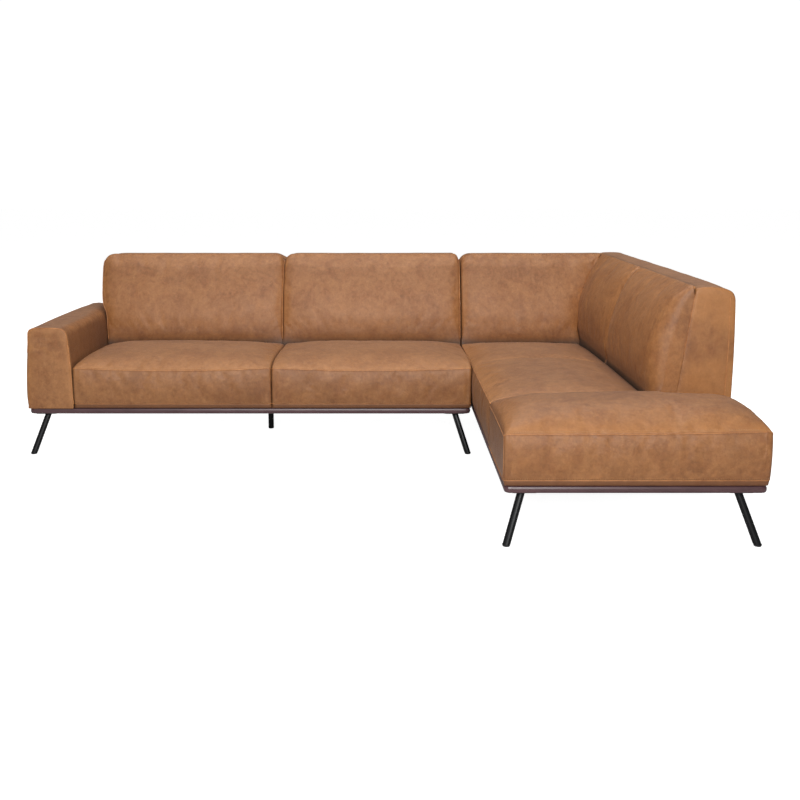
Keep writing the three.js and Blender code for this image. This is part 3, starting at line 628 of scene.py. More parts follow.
def shell_piece(name, s0, s1, place, r0, r1, bulge=(0, 0), step=22.0, dip_at=None, droop=0.0, full=0.0, corners=None, wall_end=False):
    nz, nt = 40, 18
    head = (0, 1, 2.8, 5.5, 9, 14, 20, 25.6, 26.2, 31, 38, 50)
    sts = spread(s0, s1, step, head, head)
    if dip_at is not None:
        near = [dip_at + v for v in (-60, -48, -38, -30, -23, -17, -12, -8, -5, -2.5, -1, 0, 1, 2.5, 5, 8, 12, 17, 23, 30, 38, 48, 60)]
        sts = np.array(sorted([v for v in sts if abs(v - dip_at) > 62] + near))

    def ring_at(s):
        dip = 0.0
        if dip_at is not None:
            # the dip stays above the plywood inside, whose top is at 770
            dip = 23.0 * (1 - math.exp(-corner_drop(abs(s - dip_at), 54.0, 64.0) / 23.0))
        return shell_ring(dip=dip, front=droop * math.exp(-(s - s0) / 150.0), full=full, wall=wall_end and s1 - s < 26)

    def radii(r):
        return np.concatenate([np.full(nz, r[0]), np.full(nt, r[1]), np.full(nz, r[2]), np.zeros(nt)])
    w = ring_weights(nz, nt, 1, 1, 1, 0)
    w[:3] = [0, .4, .8]
    w[nz + nt:2 * nz + nt] = np.linspace(1, 0, nz)
    w[nz + nt - 3:nz + nt] = 1
    sf = make_soft(name, sts, ring_at, place, radii(r0), radii(r1), w, bulge=bulge, corners=corners, corner_from=640.0)
    m = np.arange(sf.M)
    edge = np.exp(-np.abs(m - nz - 3) / 3.0) * (m < nz + nt)
    d = np.minimum(sf.stations - s0, s1 - sf.stations)
    sf.wear = np.zeros(len(sf.co))
    sf.grime = np.zeros(len(sf.co))
    sf.wear[:sf.N * sf.M] = np.clip(edge[None, :] * .6 + np.exp(-d / 10.0)[:, None] * .5 * (m < nz + nt)[None, :], 0, 1).ravel()
    sf.deep = np.zeros(len(sf.co))
    # painted shadow along the inner edge of the top, against the back cushions, away from the ends
    groove = np.interp(m, [nz + 9, nz + 10, nz + 11, nz + 12, nz + 17, nz + 18], [0, .25, .55, .65, .65, 0])
    sf.deep[:sf.N * sf.M] = (smooth(d, 34, 70)[:, None] * groove[None, :]).ravel()
    return sf


def arm_ring(y, nz=30, nt=30):
    outer = curve([201, 203, 208, 216, 260, 340, 430, 490], [-1493.5, -1496.2, -1497.6, -1498.8, -1502, -1499.5, -1493, -1487.0])
    give = 11.0 * float(smooth(y, 330, 560))
    inner = curve([201, 300, 420, 470], [-1305.4, -1307.4 - give, -1312.4 - give, -1316.4 - give])
    zf = np.array([201, 203, 208, 214, 222, 232] + list(np.linspace(244, 470, nz - 6)))
    face = [(float(outer(z)), z) for z in zf]
    ro = 25.0 + 12.0 * float(smooth(y, 500, 868))
    arc1 = [(-1485.6 + ro + ro * math.cos(math.radians(t)), 546 - ro + ro * math.sin(math.radians(t))) for t in np.linspace(172, 94, 9)]
    r = 41.0 + 44.0 * float(smooth(y, 300, 868))
    x0, x1 = -1485.6 + ro + 4, -1325 - give - r
    mid = [(x, 546.0 + 1.6 * (1 - ((2 * x - x0 - x1) / (x1 - x0)) ** 2)) for x in np.linspace(x0, x1, 9)]
    arc2 = [(-1319 - give - r + r * math.cos(math.radians(t)), 546 - r + r * math.sin(math.radians(t))) for t in np.linspace(86, 8, 11)]
    top = [(-1486.9, 476.5)] + arc1 + mid + arc2
    sag = 4.0 * float(smooth(y, 480, 868))
    top = [(x, z - sag * min(1.0, max(0.0, (z - 400) / 120.0))) for x, z in top]
    zr = np.linspace(min(470.0, arc2[-1][1] - 6), 201.0, nz + 1)[:-1]
    rear = [(float(inner(min(z, 470.0))), z) for z in zr]
    under = polyline([(-1305.4, 201), (-1493.5, 201)], [nt])
    return np.array([tuple(p) for p in face + top + rear + under], float), nz, nt


def arm_piece():
    nz, nt = 30, 30
    sts = spread(0.0, 868.0, 16.0, (0, .7, 2, 4, 7, 11, 17, 26), (0, 1, 3, 6, 10, 16, 24, 34, 46, 58, 70))
    w = ring_weights(nz, nt, 1, 1, 1, 0)
    w[:3] = [.1, .5, .9]
    w[nz + nt + nz - 3:nz + nt + nz] = [.9, .5, .1]
    r0 = np.concatenate([np.full(nz, 9.0), np.full(nt, 7.0), np.full(nz, 6.0), np.zeros(nt)])
    r1 = np.concatenate([np.linspace(10, 30, nz), np.full(nt, 44.0), np.linspace(30, 10, nz), np.zeros(nt)])
    place = lambda s, p: np.stack([p[:, 0], np.full(len(p), s), p[:, 1]], 1)
    sf = make_soft("arm_cover", sts, lambda s: arm_ring(s, nz, nt), place, r0, r1, w, bulge=(5.5, 3.0))
    m = np.arange(sf.M)
    d = sf.stations
    sf.wear = np.zeros(len(sf.co))
    sf.grime = np.zeros(len(sf.co))
    sf.wear[:sf.N * sf.M] = np.clip(np.exp(-d / 6.0)[:, None] * .8 * ((m > 4) & (m < 2 * nz + nt))[None, :], 0, 1).ravel()
    # painted shade: the inner face darkens toward the rear, where the arm meets the back
    inside = np.clip((m - (nz + nt - 5)) / 6.0, 0, 1)
    sf.grime[:sf.N * sf.M] = (inside[None, :] * (0.35 + 0.65 * smooth(d, 150, 700))[:, None] * (d > 12)[:, None]).ravel()
    # creases of the leather over the front panel
    rim = sf.N * sf.M
    c = sf.co[rim:][sf.co[rim:, 1] < 200]
    dy = np.zeros(len(c))
    for z0, tilt, x0, half, amp, wide in ((508, .05, -1412, 62, 2.8, 5.0), (489, -.04, -1425, 48, 2.2, 5.5), (470, .12, -1396, 50, 2.0, 5.5),
                                          (438, -.55, -1405, 34, 2.4, 5.5), (455, .40, -1452, 26, 1.7, 5.0)):
        u = (c[:, 0] - x0) / half
        zc = z0 + tilt * (c[:, 0] - x0) + 2.5 * np.sin(c[:, 0] / 17.0)
        dy += amp * np.exp(-((c[:, 2] - zc) / wide) ** 2) * np.clip(1 - u * u, 0, 1)
    sf.co[rim:][sf.co[rim:, 1] < 200] = c + np.stack([0 * dy, dy, 0 * dy], 1)
    return sf


SOFT = {}


def add(sf, node, body, material=None, level=1):
    ob = sf.build(material or LEATHER)
    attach(ob, body)
    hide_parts(node)
    SOFT[node] = (sf, ob, level)
    return sf


# how much of the crown is left where a seat meets its neighbour
EDGE_ARM = lin([0, .1, .36, .6, .8, 1], [.36, .34, .31, .24, .15, .10])
EDGE_MID = lin([0, .1, .245, .36, .72, 1], [.56, .50, .44, .36, .15, .08])
EDGE_SOFT = lin([0, .5, 1], [.92, .93, .95])
EDGE_REAR = lin([0, .5, 1], [.20, .16, .20])
EDGE_OPEN = lin([0, 1], [0.06, 0.10])
EDGE_STEP = lin([0, .1, .5, 1], [.55, .62, .66, .70])

add(seat_piece("seat_cover_left", -1303.4, -465.9, 572, place_A, EDGE_ARM, EDGE_MID, bow(-1303, -465, 11, 363.5), crown=54.0), "seat_cushion_left", "left_unit")
add(seat_piece("seat_cover_centre", -464.6, 381.2, 572, place_A, EDGE_MID, EDGE_MID, bow(-465, 381, 11, 363.5), crown=54.0), "seat_cushion_centre", "left_unit")
add(seat_piece("seat_cover_corner", 0.7, 572, 566.0, place_S, EDGE_SOFT, EDGE_REAR, bow(0, 572, 1.5), crown=46.0, r0=5, r1=9,
               g=curve([0, 35, 72, 122, 172, 240, 410], [0, .08, .20, .42, .64, .80, 1])), "seat_cushion_corner", "corner_unit")
add(seat_piece("seat_cover_middle", -600.3, -0.7, 566.0, place_S, EDGE_STEP, EDGE_SOFT, bow(-600, 0, 1.5), r0=9, r1=5), "seat_cushion_middle", "corner_unit")
F_DEPTH = lambda s: 402.2 - 24.0 * float(smooth(s, 944, 955))
front = (seat_piece("seat_cover_front", 386.6, 1237.6, F_DEPTH, place_F, EDGE_OPEN, EDGE_OPEN,
               bow(386, 1238, 4, base=371.6, slope=4.5), crown=74.0, bulge=2.0, r0=9, r1=14, walls=True, caps_out=(1.0, 1.5),
               g=curve([0, 12, 35, 75, 140, 280], [0, .30, .56, .77, .92, 1])))
low_part = 5.5 * np.clip((221 - front.co[:, 2]) / 20.0, 0, 1) ** 1.3
front.co[:, 0] += low_part * (np.exp(-np.abs(front.co[:, 0] - 386.6) / 14.0) - np.exp(-np.abs(front.co[:, 0] - 1237.6) / 14.0))
add(front, "seat_cushion_front", "corner_unit")

G_SIDE = curve([0, 14, 40, 100, 190, 300], [0, .26, .50, .80, .95, 1])
G_REAR = lambda d: 1.0
add(back_piece("back_cover_left", -1352.0, -476.4, between(B1_LEFT, const(-476.4), -1352.0, -476.4, "X"), (13, 9), ((62, 50), (46, 50))),
    "back_cushion_left", "left_unit")
add(back_piece("back_cover_centre", -475.6, 381.4, place_AB, (9, 9), ((46, 50), (28, 44))), "back_cushion_centre", "left_unit")
DELTA = curve([300, 560, 651, 725, 768, 793, 800.5], [0, 0, 12, 18, 16, 12, 8])
add(back_piece("back_cover_corner", 386.8, 1000.0,
               between(const(386.8), lambda z: RIGHT_X - PAD_D(z) + low(z) + DELTA(np.clip(z, 300, 800)) - 1.6, 386.8, 1000.0, "X"), (10, 9), ((54, 46), (14, 8))),
    "back_cushion_corner", "corner_unit")


def thin_corner(s, p):
    """The right-hand rear cushion is slimmer where it runs into the corner."""
    k = float(smooth(s, 430, 590))
    q = p.copy()
    q[:52, 0] -= k * DELTA(q[:52, 1]) * np.clip((51 - np.arange(52)) / 8.0, 0, 1)
    return q




def relax(sf, weight, rounds=10):
    """Even out the points where weight is above 0, so that an end cap runs smoothly into its sides."""
    pairs = np.array([(f[k], f[(k + 1) % len(f)]) for f in sf.faces for k in range(len(f))])
    pairs = np.vstack([pairs, pairs[:, ::-1]])
    count = np.bincount(pairs[:, 0], minlength=len(sf.co)).astype(float)
    for _ in range(rounds):
        total = np.stack([np.bincount(pairs[:, 0], sf.co[pairs[:, 1], k], len(sf.co)) for k in range(3)], 1)
        sf.co += (total / count[:, None] - sf.co) * (0.5 * weight)[:, None]


def right_rear():
    s0, s1 = 46.7, 700.0
    return back_piece("back_cover_right_rear", s0, s1, between(const(s0), lambda z: REAR_Y - SHELL_D(z) - 1.2, s0, s1, "Y"),
                      (15, 3), ((26, 18), (0, 0)), amount=26.0, ends=(0.0, .55), fix=thin_corner, right=True)


add(right_rear(), "back_cushion_right_rear", "corner_unit")
front_pad = back_piece("back_cover_right_front", -622.6, 45.2, place_R, (56, 24), ((18, 12), (34, 26)), amount=31.0, ends=(.35, 0), right=True)
q = front_pad.co
from_rear = RIGHT_X - q[:, 0] - (135.4 + 55.0 * np.clip((785 - q[:, 2]) / 385.0, 0, 1))
relax(front_pad, (1 - smooth(q[:, 1], -560, -500)) * smooth(q[:, 2], 330, 420) * smooth(from_rear, 6, 30), 14)
add(front_pad, "back_cushion_right_front", "corner_unit")

add(shell_piece("back_shell_left_unit", -1360.0, 381.2, between(ARM_IN, const(381.2), -1360.0, 381.2, "X"), (9, 7, 3), (3, 3, 2), bulge=(3, 0), dip_at=-476.0, corners=((62, 52), (31, 54))),
    "back_cover_left_unit", "left_unit")
add(shell_piece("back_shell_right", -624.4, REAR_Y - .4, place_R, (5, 7, 3), (8, 8, 2), bulge=(4.0, 2), droop=7.0, full=5.0, corners=((14, 11), (0, 0)), wall_end=True), "back_cover_right", "corner_unit")
add(shell_piece("back_shell_rear", 386.8, 1040.0, between(const(386.8), lambda z: RIGHT_X - np.maximum(SHELL_D(z), 26) - 1.2, 386.8, 1040.0, "X"),
                (3, 3, 2), (2, 2, 2), corners=((58, 56), (0, 0))), "back_cover_rear", "corner_unit")
add(arm_piece(), "arm_cushion", "left_unit")

# the sides that face each other, seen when the units are apart, are closed with a leather-covered board
def lining(name, x_out, x_in, y0, y1, body, z0=203.0, z1=301.5, nz=14, nt=6):
    sgn = 1.0 if x_out > x_in else -1.0
    zs = z0 + (z1 - z0) * 0.5 * (1 - np.cos(np.linspace(0, math.pi, nz + 1)))

    def ring_at(y):
        face = []
        for z in zs[:-1]:
            u = (2 * z - z0 - z1) / (z1 - z0)
            face.append((x_out - sgn * (float(round_in(min(z - z0, z1 - z), 6.0)) + 2.5 * u * u), z))
        top = polyline([(x_out - sgn * 8.5, z1), (x_in, z1)], [nt])
        rear = [(x_in, z) for z in zs[::-1][:-1]]
        under = polyline([(x_in, z0), (x_out - sgn * 8.5, z0)], [nt])
        return np.array([tuple(v) for v in face + list(map(tuple, top)) + rear + list(map(tuple, under))], float), nz, nt
    r = np.concatenate([np.full(nz, 6.0), np.full(nt, 5.0), np.zeros(nz), np.full(nt, 5.0)])
    w = np.concatenate([np.ones(nz), np.ones(nt), np.zeros(nz), np.ones(nt)])
    ends = (0, .7, 2, 4, 6.5, 10)
    sf = make_soft(name, spread(y0, y1, 22.0, ends, ends), ring_at, lambda s, q: np.stack([q[:, 0], np.full(len(q), s), q[:, 1]], 1), r, r, w)
    ob = sf.build(LEATHER)
    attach(ob, body)
    return ob


LININGS = (lining("side_lining_left_unit", 375.8, 356.4, 29.0, 845.0, "left_unit"),
           lining("side_lining_corner_unit", 387.6, 413.0, 575.0, 845.0, "corner_unit"))

# ------------------------------------------------------------------ finishing the soft bodies
def coords(me):
    a = np.empty(len(me.vertices) * 3)
    me.vertices.foreach_get("co", a)
    return a.reshape(-1, 3)


def put_coords(me, a):
    me.vertices.foreach_set("co", np.ascontiguousarray(a).ravel())
    me.update()


def normals(me):
    a = np.empty(len(me.vertices) * 3)
    me.vertices.foreach_get("normal", a)
    return a.reshape(-1, 3)


def point_field(me, name, values):
    at = me.attributes.get(name) or me.attributes.new(name, "FLOAT", "POINT")
    at.data.foreach_set("value", np.asarray(values, np.float32))


def inflate(ob, hold, cap, pressure=4.0, grow=0.008):
    """Blow the cover out with Cloth, held by the weights in hold, each point moving at most cap (m); the result is applied."""
    base = coords(ob.data)
    vg = ob.vertex_groups.new(name="hold")
    lv = np.round(hold, 2)
    for v in np.unique(lv):
        if v > 0:
            vg.add([int(i) for i in np.nonzero(lv == v)[0]], float(v), "REPLACE")
    md = ob.modifiers.new("cloth", "CLOTH")
    st = md.settings
    st.quality = 2
    st.mass = 0.35
    st.tension_stiffness = st.compression_stiffness = 45
    st.shear_stiffness = 20
    st.bending_stiffness = 1.6
    st.tension_damping = st.compression_damping = 18
    st.use_pressure = True
    st.uniform_pressure_force = pressure
    st.shrink_min = -grow
    st.vertex_group_mass = "hold"
    st.pin_stiffness = 1.0
    st.effector_weights.gravity = 0.0
    md.collision_settings.use_collision = False
    md.collision_settings.use_self_collision = False
    md.point_cache.frame_start, md.point_cache.frame_end = 1, 20
    for fr in range(1, 21):
        scene.frame_set(fr)
    dg = bpy.context.evaluated_depsgraph_get()
    ev = ob.evaluated_get(dg)
    em = ev.to_mesh()
    new = coords(em)
    ev.to_mesh_clear()
    ob.modifiers.remove(md)
    ob.vertex_groups.remove(vg)
    move = new - base
    if not np.all(np.isfinite(move)):
        return None
    ln = np.linalg.norm(move, axis=1)
    k = np.where(ln > 1e-9, cap * np.tanh(ln / cap) / np.maximum(ln, 1e-12), 1.0)      # levels off at the cap
    put_coords(ob.data, base + move * k[:, None])
    return [round(float(v) * 1000, 1) for v in np.percentile(ln[hold < 0.05], (50, 90, 100))]


def hold_weights(sf, kind):
    """Held points: everything hidden, the seams nearly, the show faces free."""
    m = np.arange(sf.M)
    nz, nt = sf.nz, sf.nt
    h = np.ones((sf.N, sf.M))
    if kind == "seat":
        fm = np.where((m > 7) & (m < nz + nt - 2), 0.0, 1.0)
        fm = np.maximum(fm, np.exp(-((m - nz) / 1.6) ** 2) * 0.85)
        fm = np.maximum(fm, np.exp(-np.maximum(0, m - 7) / 1.5) * (m < nz))
        fm = np.maximum(fm, np.exp(-np.maximum(0, nz + nt - 3 - m) / 1.5) * (m > nz))
    else:
        fm = np.where((m > 8) & (m < nz + nt - 2), 0.0, 1.0)
        fm = np.maximum(fm, np.exp(-np.maximum(0, m - 8) / 2.0) * (m < nz))
        fm = np.maximum(fm, np.exp(-np.maximum(0, nz + nt - 3 - m) / 1.5) * (m > nz))
    d = np.minimum(sf.stations - sf.stations[0], sf.stations[-1] - sf.stations)
    fs = np.exp(-np.maximum(0, d - 9) / 9.0)
    h = np.maximum(fm[None, :], fs[:, None])
    out = np.ones(len(sf.co))
    out[:sf.N * sf.M] = np.clip(h, 0, 1).ravel()
    out[out < 0.03] = 0.0
    return out


KIND = {n: ("seat" if n.startswith("seat_cushion") else "pad" if n.startswith("back_cushion") else "cover") for n in SOFT}
seed = 3
for node, (sf, ob, level) in SOFT.items():
    seed += 1
    kind = KIND[node]
    me = ob.data
    if kind != "cover":
        got = inflate(ob, hold_weights(sf, kind), 0.0095 if kind == "seat" else 0.009)
        print("inflate", node, got)
    wear, grime = sf.wear, sf.grime
    for grid, i in zip(sf.cap_index, (0, sf.N - 1)):
        if grid is None:
            continue
        rim = np.arange(i * sf.M, (i + 1) * sf.M)
        inner = np.unique(grid[1:-1, 1:-1])
        gap = np.linalg.norm(sf.co[inner][:, None, :] - sf.co[rim][None, :, :], axis=2)
        k = gap.argmin(1)
        fall = np.exp(-gap.min(1) / 16.0)
        wear[inner] = wear[rim][k] * fall
        grime[inner] = grime[rim][k] * fall
    # the tone of the hide drifts from place to place (random mottle); painted shade darkens faces turned from the
    # light, and painted highlights brighten the cushions' lower band and the right end face
    vn = normals(me)
    cloud = np.clip(field(sf.co, 210.0, seed + 7, 3) * 1.3, 0, 1)
    front_face = smooth(-vn[:, 1], .70, .95)
    if kind == "seat":
        # painted shade: the seats' lower front faces and the faces turned to the left are darker
        grime = np.clip(grime + front_face * (.10 + .30 * cloud) * (sf.co[:, 2] < 380) + .42 * smooth(-vn[:, 0], .6, .95), 0, 1)
    elif kind == "pad":
        # painted shade on the upper part of the cushion face, with random mottle
        grime = np.clip(grime + front_face * (.32 * smooth(sf.co[:, 2], 610, 760) + .12 * cloud), 0, 1)
        # painted highlight on the band lower down the cushion face
        wear = np.clip(wear + front_face * .30 * smooth(sf.co[:, 2], 420, 480) * (1 - smooth(sf.co[:, 2], 520, 640)), 0, 1)
    elif node == "arm_cushion":
        # random mottle, plus painted shade on the inner face turned to the right
        grime = np.clip(grime + .16 * cloud + .22 * smooth(vn[:, 0], .7, .97), 0, 1)
    elif node == "back_cover_right":
        # painted highlight on the front-facing end, with random darker mottle
        wear = np.clip(wear + .75 * front_face * (1 - cloud), 0, 1)
        grime = np.clip(grime + .22 * front_face * cloud, 0, 1)
    point_field(me, "wear", wear)
    point_field(me, "grime", grime)
    point_field(me, "deep", getattr(sf, "deep", np.zeros(len(sf.co))))
    # slow unevenness of the filling, and finer puckers near the seams
    p = sf.co
    slow = field(p, 170.0, seed, 2)
    fine = field(p * np.array([1.0, 1.0, .55]), 34.0, seed + 40, 3) * (p[:, 2] > 236)
    hold = hold_weights(sf, "pad" if kind == "cover" else kind)
    free = 1 - hold
    near = np.exp(-((hold - 0.45) / 0.35) ** 2)
    amp = {"seat": 2.4, "pad": 2.6, "cover": 1.4}[kind]
    put_coords(me, coords(me) + normals(me) * ((slow * amp * (0.25 + 0.75 * free) + fine * 0.9 * near) * (hold < 0.999) / 1000.0)[:, None])
    md = ob.modifiers.new("subdiv", "SUBSURF")
    md.levels = md.render_levels = level
    dg = bpy.context.evaluated_depsgraph_get()
    new = bpy.data.meshes.new_from_object(ob.evaluated_get(dg))
    ob.modifiers.clear()
    old = ob.data
    ob.data = new
    bpy.data.meshes.remove(old)
    new.name = ob.name
for ob in LININGS:
    # the linings are uniformly darker leather: the darkening attribute is 0.35 all over, with no wear and no gap shadow
    for tone, value in (("wear", 0.0), ("grime", 0.35), ("deep", 0.0)):
        point_field(ob.data, tone, np.full(len(ob.data.vertices), value))
scene.frame_set(1)


# ------------------------------------------------------------------ seams, welts and stitches
class Tubes:
    """Closed tubes swept along chains of surface points, gathered in one mesh per body."""

    def __init__(self):
        self.v, self.f = [], []

    def run(self, pts, radius, sides=6, ends=True):
        pts = np.asarray(pts, float)
        n = len(pts)
        t = np.gradient(pts, axis=0)
        t /= np.maximum(np.linalg.norm(t, axis=1, keepdims=True), 1e-12)
        up = np.array([0.13, 0.21, 0.97])
        a = np.cross(t, up)
        bad = np.linalg.norm(a, axis=1) < 0.2
        a[bad] = np.cross(t[bad], np.array([0.97, 0.2, 0.1]))
        a /= np.maximum(np.linalg.norm(a, axis=1, keepdims=True), 1e-12)
        for i in range(1, n):
            if a[i] @ a[i - 1] < 0:
                a[i] = -a[i]
            w = a[i - 1] - t[i] * (a[i - 1] @ t[i])
            a[i] = w / max(np.linalg.norm(w), 1e-12)
        b = np.cross(t, a)
        base = len(self.v)
        for i in range(n):
            r = radius * (0.55 if ends and i in (0, n - 1) else 1.0)
            for k in range(sides):
                th = 2 * math.pi * k / sides
                self.v.append(tuple(pts[i] + r * (math.cos(th) * a[i] + math.sin(th) * b[i])))
        for i in range(n - 1):
            for k in range(sides):
                k2 = (k + 1) % sides
                self.f.append((base + i * sides + k, base + i * sides + k2, base + (i + 1) * sides + k2, base + (i + 1) * sides + k))
        self.f.append(tuple(base + k for k in range(sides))[::-1])
        self.f.append(tuple(base + (n - 1) * sides + k for k in range(sides)))

    def build(self, name, material, body):
        me = bpy.data.meshes.new(name)
        me.from_pydata(self.v, [], self.f)
        bm = bmesh.new()
        bm.from_mesh(me)
        bmesh.ops.recalc_face_normals(bm, faces=bm.faces)
        bm.to_mesh(me)
        bm.free()
        for q in me.polygons:
            q.use_smooth = True
        me.materials.append(material)
        ob = bpy.data.objects.new(name, me)
        scene.collection.objects.link(ob)
        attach(ob, body)
        return ob


def chain(node, idx, lift=0.0):
    """Surface points of a soft body by base index, lifted along the surface normal (mm)."""
    me = SOFT[node][1].data
    co, no = coords(me), normals(me)
    idx = np.asarray(idx, int)
    return co[idx] + no[idx] * (lift / 1000.0), no[idx]


def ring_line(node, m, i0=0, i1=None):
    sf = SOFT[node][0]
    return [sf.ring(i, m) for i in range(i0, (sf.N if i1 is None else i1))]


def ring_arc(node, i, m0, m1):
    sf = SOFT[node][0]
    if i < 0:
        i += sf.N
    return [sf.ring(i, m) for m in range(m0, m1)]


def resample(pts, step):
    pts = np.asarray(pts, float)
    d = np.concatenate([[0], np.cumsum(np.linalg.norm(np.diff(pts, axis=0), axis=1))])
    n = max(2, int(round(d[-1] / step)) + 1)
    q = np.linspace(0, d[-1], n)
    return np.stack([np.interp(q, d, pts[:, k]) for k in range(3)], 1), d[-1]


BODY_OF = {"seat_cushion_left": "left_unit", "seat_cushion_centre": "left_unit", "back_cushion_left": "left_unit",
           "back_cushion_centre": "left_unit", "back_cover_left_unit": "left_unit", "arm_cushion": "left_unit"}
EDGES = {"left_unit": Tubes(), "corner_unit": Tubes()}
STITCH = {"left_unit": Tubes(), "corner_unit": Tubes()}


def edge(node, idx, r=1.5, lift=0.4):
    p, n = chain(node, idx, lift)
    q, L = resample(p, 0.006)
    EDGES[BODY_OF.get(node, "corner_unit")].run(q, r / 1000.0)


def stitch(node, idx, shift, pitch=0.0075, length=0.0050, r=0.00055):
    """A row of stitches beside a chain, shift = (dx, dy, dz) in mm from it."""
    p, n = chain(node, idx, 0.35)
    p = p + np.asarray(shift, float) / 1000.0
    q, L = resample(p, 0.0025)
    d = np.concatenate([[0], np.cumsum(np.linalg.norm(np.diff(q, axis=0), axis=1))])
    x = 0.004
    tubes = STITCH[BODY_OF.get(node, "corner_unit")]
    while x + length < d[-1] - 0.003:
        a = [np.array([np.interp(x + length * k, d, q[:, j]) for j in range(3)]) for k in (0, .5, 1)]
        tubes.run(a, r, sides=4)
        x += pitch


NZ, NT = 30, 48
for node in ("seat_cushion_left", "seat_cushion_centre"):
    edge(node, ring_line(node, NZ), 1.5, 0.5)
    edge(node, ring_line(node, 5), 1.6, 0.7)
    stitch(node, ring_line(node, NZ + 3), (0, 0, 0))
    stitch(node, ring_line(node, 7), (0, 0, 0))
for node in ("seat_cushion_corner", "seat_cushion_middle"):
    edge(node, ring_line(node, NZ), 2.1, 0.9)
    edge(node, ring_line(node, 5), 1.6, 0.7)
    stitch(node, ring_line(node, NZ + 3), (0, 0, 0))
    stitch(node, ring_line(node, 7), (0, 0, 0))
node = "seat_cushion_front"
sf = SOFT[node][0]
lowrow = lambda e: [int(v) for v in sf.cap_index[e][5, :]]
edge(node, ring_arc(node, 0, NZ, NZ + NT)[::-1] + ring_line(node, NZ) + ring_arc(node, -1, NZ, NZ + NT), 1.5, 0.4)
edge(node, lowrow(0)[::-1] + ring_line(node, 5) + lowrow(1), 1.6, 0.7)
stitch(node, ring_line(node, NZ + 3), (0, 0, 0))
stitch(node, ring_line(node, 7), (0, 0, 0))
edge(node, ring_arc(node, 0, 5, NZ), 1.1, 0.2)
edge(node, ring_arc(node, -1, 5, NZ), 1.1, 0.2)
PZ, PT = 34, 18
for node, i_list in (("back_cushion_left", (3, -3)), ("back_cushion_centre", (-3,))):
    for i in i_list:
        edge(node, ring_arc(node, i, 5, PZ + PT - 1), 1.9, 1.2)
for node in ("back_cushion_left", "back_cushion_centre", "back_cushion_corner", "back_cushion_right_rear", "back_cushion_right_front"):
    edge(node, ring_line(node, PZ + PT - 1, 2, SOFT[node][0].N - 2), 1.4, 0.6)
node = "arm_cushion"
edge(node, ring_arc(node, 2, 26, 30 + 30 + 29), 2.2, 0.9)
stitch(node, ring_arc(node, 5, 28, 30 + 30 + 26), (0, 0, 0))
node = "back_cover_right"
edge(node, [int(v) for v in SOFT[node][0].cap_index[0][4:, 3]], 1.4, 0.5)
edge(node, ring_arc(node, 1, 40 + 18, 40 + 18 + 20), 1.2, 0.4)
node = "back_cover_left_unit"
edge(node, [int(v) for v in SOFT[node][0].cap_index[0][26:, 3]], 1.4, 0.5)
for body in ("left_unit", "corner_unit"):
    EDGES[body].build("seam_edges_" + body, LEATHER_EDGE, body)
    STITCH[body].build("stitching_" + body, THREAD, body)

# ------------------------------------------------------------------ materials of the carried-over nodes
PLINTH = plain_material("plinth_burgundy", (0.098, 0.046, 0.050), (0.055, 0.025, 0.028), 0.34, 9, bump=0.12, dist=0.0004, stretch=(1, 1, 6), spec=0.5)
STEEL = plain_material("black_steel", (0.0042, 0.0044, 0.0052), (0.0025, 0.0027, 0.0032), 0.33, 60, bump=0.25, dist=0.0002, spec=0.32)
PLASTIC = plain_material("black_plastic", (0.018, 0.018, 0.019), (0.012, 0.012, 0.013), 0.55, 120, bump=0.3, dist=0.0002)
TIMBER = plain_material("pine_frame", (0.56, 0.39, 0.21), (0.42, 0.27, 0.13), 0.62, 9, bump=0.3, dist=0.0006, stretch=(1, 1, 9))
PLY = plain_material("plywood", (0.55, 0.40, 0.24), (0.44, 0.31, 0.17), 0.65, 8, bump=0.3, dist=0.0006, stretch=(1, 1, 0.2))
WEB = plain_material("elastic_webbing", (0.055, 0.055, 0.060), (0.030, 0.030, 0.033), 0.85, 260, bump=0.6, dist=0.0006)
DUST = plain_material("dust_cloth", (0.030, 0.030, 0.032), (0.018, 0.018, 0.020), 0.95, 420, bump=0.5, dist=0.0004)
ZINC = plain_material("zinc_steel", (0.55, 0.56, 0.58), (0.42, 0.43, 0.45), 0.38, 45, metal=1.0, bump=0.15, dist=0.0002)
BY_SLOT = {"plinth_wood": PLINTH, "black_steel": STEEL, "black_plastic": PLASTIC, "timber": TIMBER, "plywood": PLY,
           "webbing": WEB, "dust_cloth": DUST, "zinc_steel": ZINC, "leather": LEATHER}
slot_of = {}
for row in frame["record"]["subparts"]:
    if isinstance(row, dict) and "node" in row:
        slot_of[row["node"]] = row.get("material_slot")
for name, ob in frame["nodes"].items():
    ob.data.materials.clear()
    ob.data.materials.append(BY_SLOT.get(slot_of.get(name), PLINTH))

# ------------------------------------------------------------------ camera, floor and light
cam_data = bpy.data.cameras.new("camera")
cam = bpy.data.objects.new("camera", cam_data)
scene.collection.objects.link(cam)
cam.location = (0.132, -3.786, 1.1794)
cam.rotation_euler = (math.radians(82.0), 0.0, 0.0)
cam_data.sensor_width = 36.0
cam_data.lens = 931.9 / 800.0 * 36.0
cam_data.shift_x = (400.0 - 381.4) / 800.0
cam_data.shift_y = -(400.0 - 306.6) / 800.0
cam_data.clip_end = 100.0
scene.camera = cam


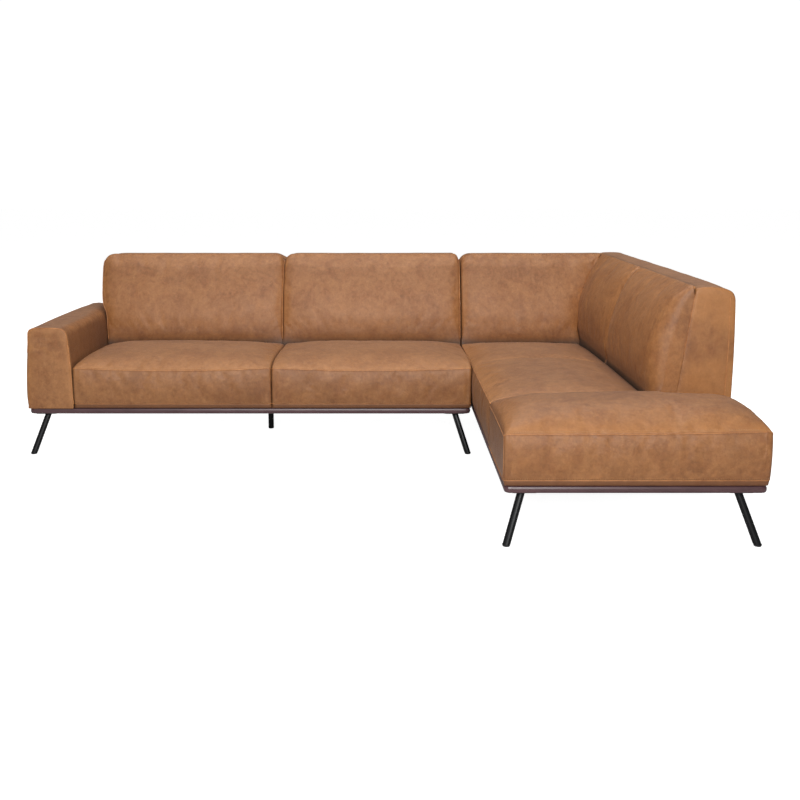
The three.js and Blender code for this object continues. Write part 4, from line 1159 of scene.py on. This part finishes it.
def stage_plane():
    me = bpy.data.meshes.new("floor")
    v, f, n, R = [], [], 8, 30.0
    for i in range(n + 1):
        for j in range(n + 1):
            v.append((-R + 2 * R * i / n, -R + 2 * R * j / n, 0.0))
    for i in range(n):
        for j in range(n):
            a = i * (n + 1) + j
            f.append((a, a + n + 1, a + n + 2, a + 1))
    me.from_pydata(v, [], f)
    ob = bpy.data.objects.new("floor", me)
    scene.collection.objects.link(ob)
    m, nt, bs, co = new_material("floor_white")
    n1 = n_noise(nt, co, 2.0, 2)
    nt.links.new(n_ramp(nt, n1, [(0.3, (0.54, 0.54, 0.54)), (0.7, (0.56, 0.56, 0.56))]), bs.inputs["Base Color"])
    bs.inputs["Roughness"].default_value = 0.9
    bs.inputs["Specular IOR Level"].default_value = 0.1
    glow = nt.nodes.new("ShaderNodeEmission")
    ray = nt.nodes.new("ShaderNodeLightPath")
    nt.links.new(n_math(nt, "MULTIPLY", ray.outputs["Is Camera Ray"], 0.93), glow.inputs["Strength"])
    both = nt.nodes.new("ShaderNodeAddShader")
    out = [n for n in nt.nodes if n.type == "OUTPUT_MATERIAL"][0]
    nt.links.new(bs.outputs[0], both.inputs[0])
    nt.links.new(glow.outputs[0], both.inputs[1])
    nt.links.new(both.outputs[0], out.inputs[0])
    me.materials.append(m)


stage_plane()


def area(name, loc, target, size, power, color=(1, 1, 1)):
    ld = bpy.data.lights.new(name, "AREA")
    ld.shape = "RECTANGLE"
    ld.size, ld.size_y = size
    ld.energy = power
    ld.color = color
    ob = bpy.data.objects.new(name, ld)
    scene.collection.objects.link(ob)
    ob.location = loc
    ob.rotation_euler = (Vector(target) - Vector(loc)).to_track_quat("-Z", "Y").to_euler()
    ob.visible_camera = False
    return ob


area("key", (0.0, -5.2, 2.45), (0.0, 0.2, 0.40), (3.0, 1.6), 242)
area("fill", (-3.6, -3.6, 2.0), (-0.4, 0.0, 0.4), (2.0, 2.0), 3)
area("top", (0.0, 0.1, 3.6), (0.0, 0.2, 0.0), (4.4, 2.6), 92)
for soft in (area("rear_left", (-4.6, 3.3, 1.5), (-0.8, 0.5, 0.4), (2.4, 1.6), 60),
             area("rear_right", (4.6, 3.0, 1.5), (0.9, 0.2, 0.4), (2.4, 1.6), 60),
             area("rear_middle", (0.2, 6.2, 1.2), (0.0, 0.9, 0.4), (3.4, 0.9), 70)):
    soft.visible_glossy = False
world = bpy.data.worlds.new("studio")
scene.world = world
world.use_nodes = True
wn = world.node_tree
wn.nodes.clear()
wo = wn.nodes.new("ShaderNodeOutputWorld")
lp = wn.nodes.new("ShaderNodeLightPath")
b1 = wn.nodes.new("ShaderNodeBackground")
b2 = wn.nodes.new("ShaderNodeBackground")
mx = wn.nodes.new("ShaderNodeMixShader")
b1.inputs[0].default_value = (1, 1, 1, 1)
b1.inputs[1].default_value = 0.12
b2.inputs[0].default_value = (1, 1, 1, 1)
b2.inputs[1].default_value = 1.05
wn.links.new(lp.outputs["Is Camera Ray"], mx.inputs[0])
wn.links.new(b1.outputs[0], mx.inputs[1])
wn.links.new(b2.outputs[0], mx.inputs[2])
wn.links.new(mx.outputs[0], wo.inputs[0])
scene.view_settings.view_transform = "Standard"
scene.view_settings.look = "None"

bpy.context.view_layer.update()
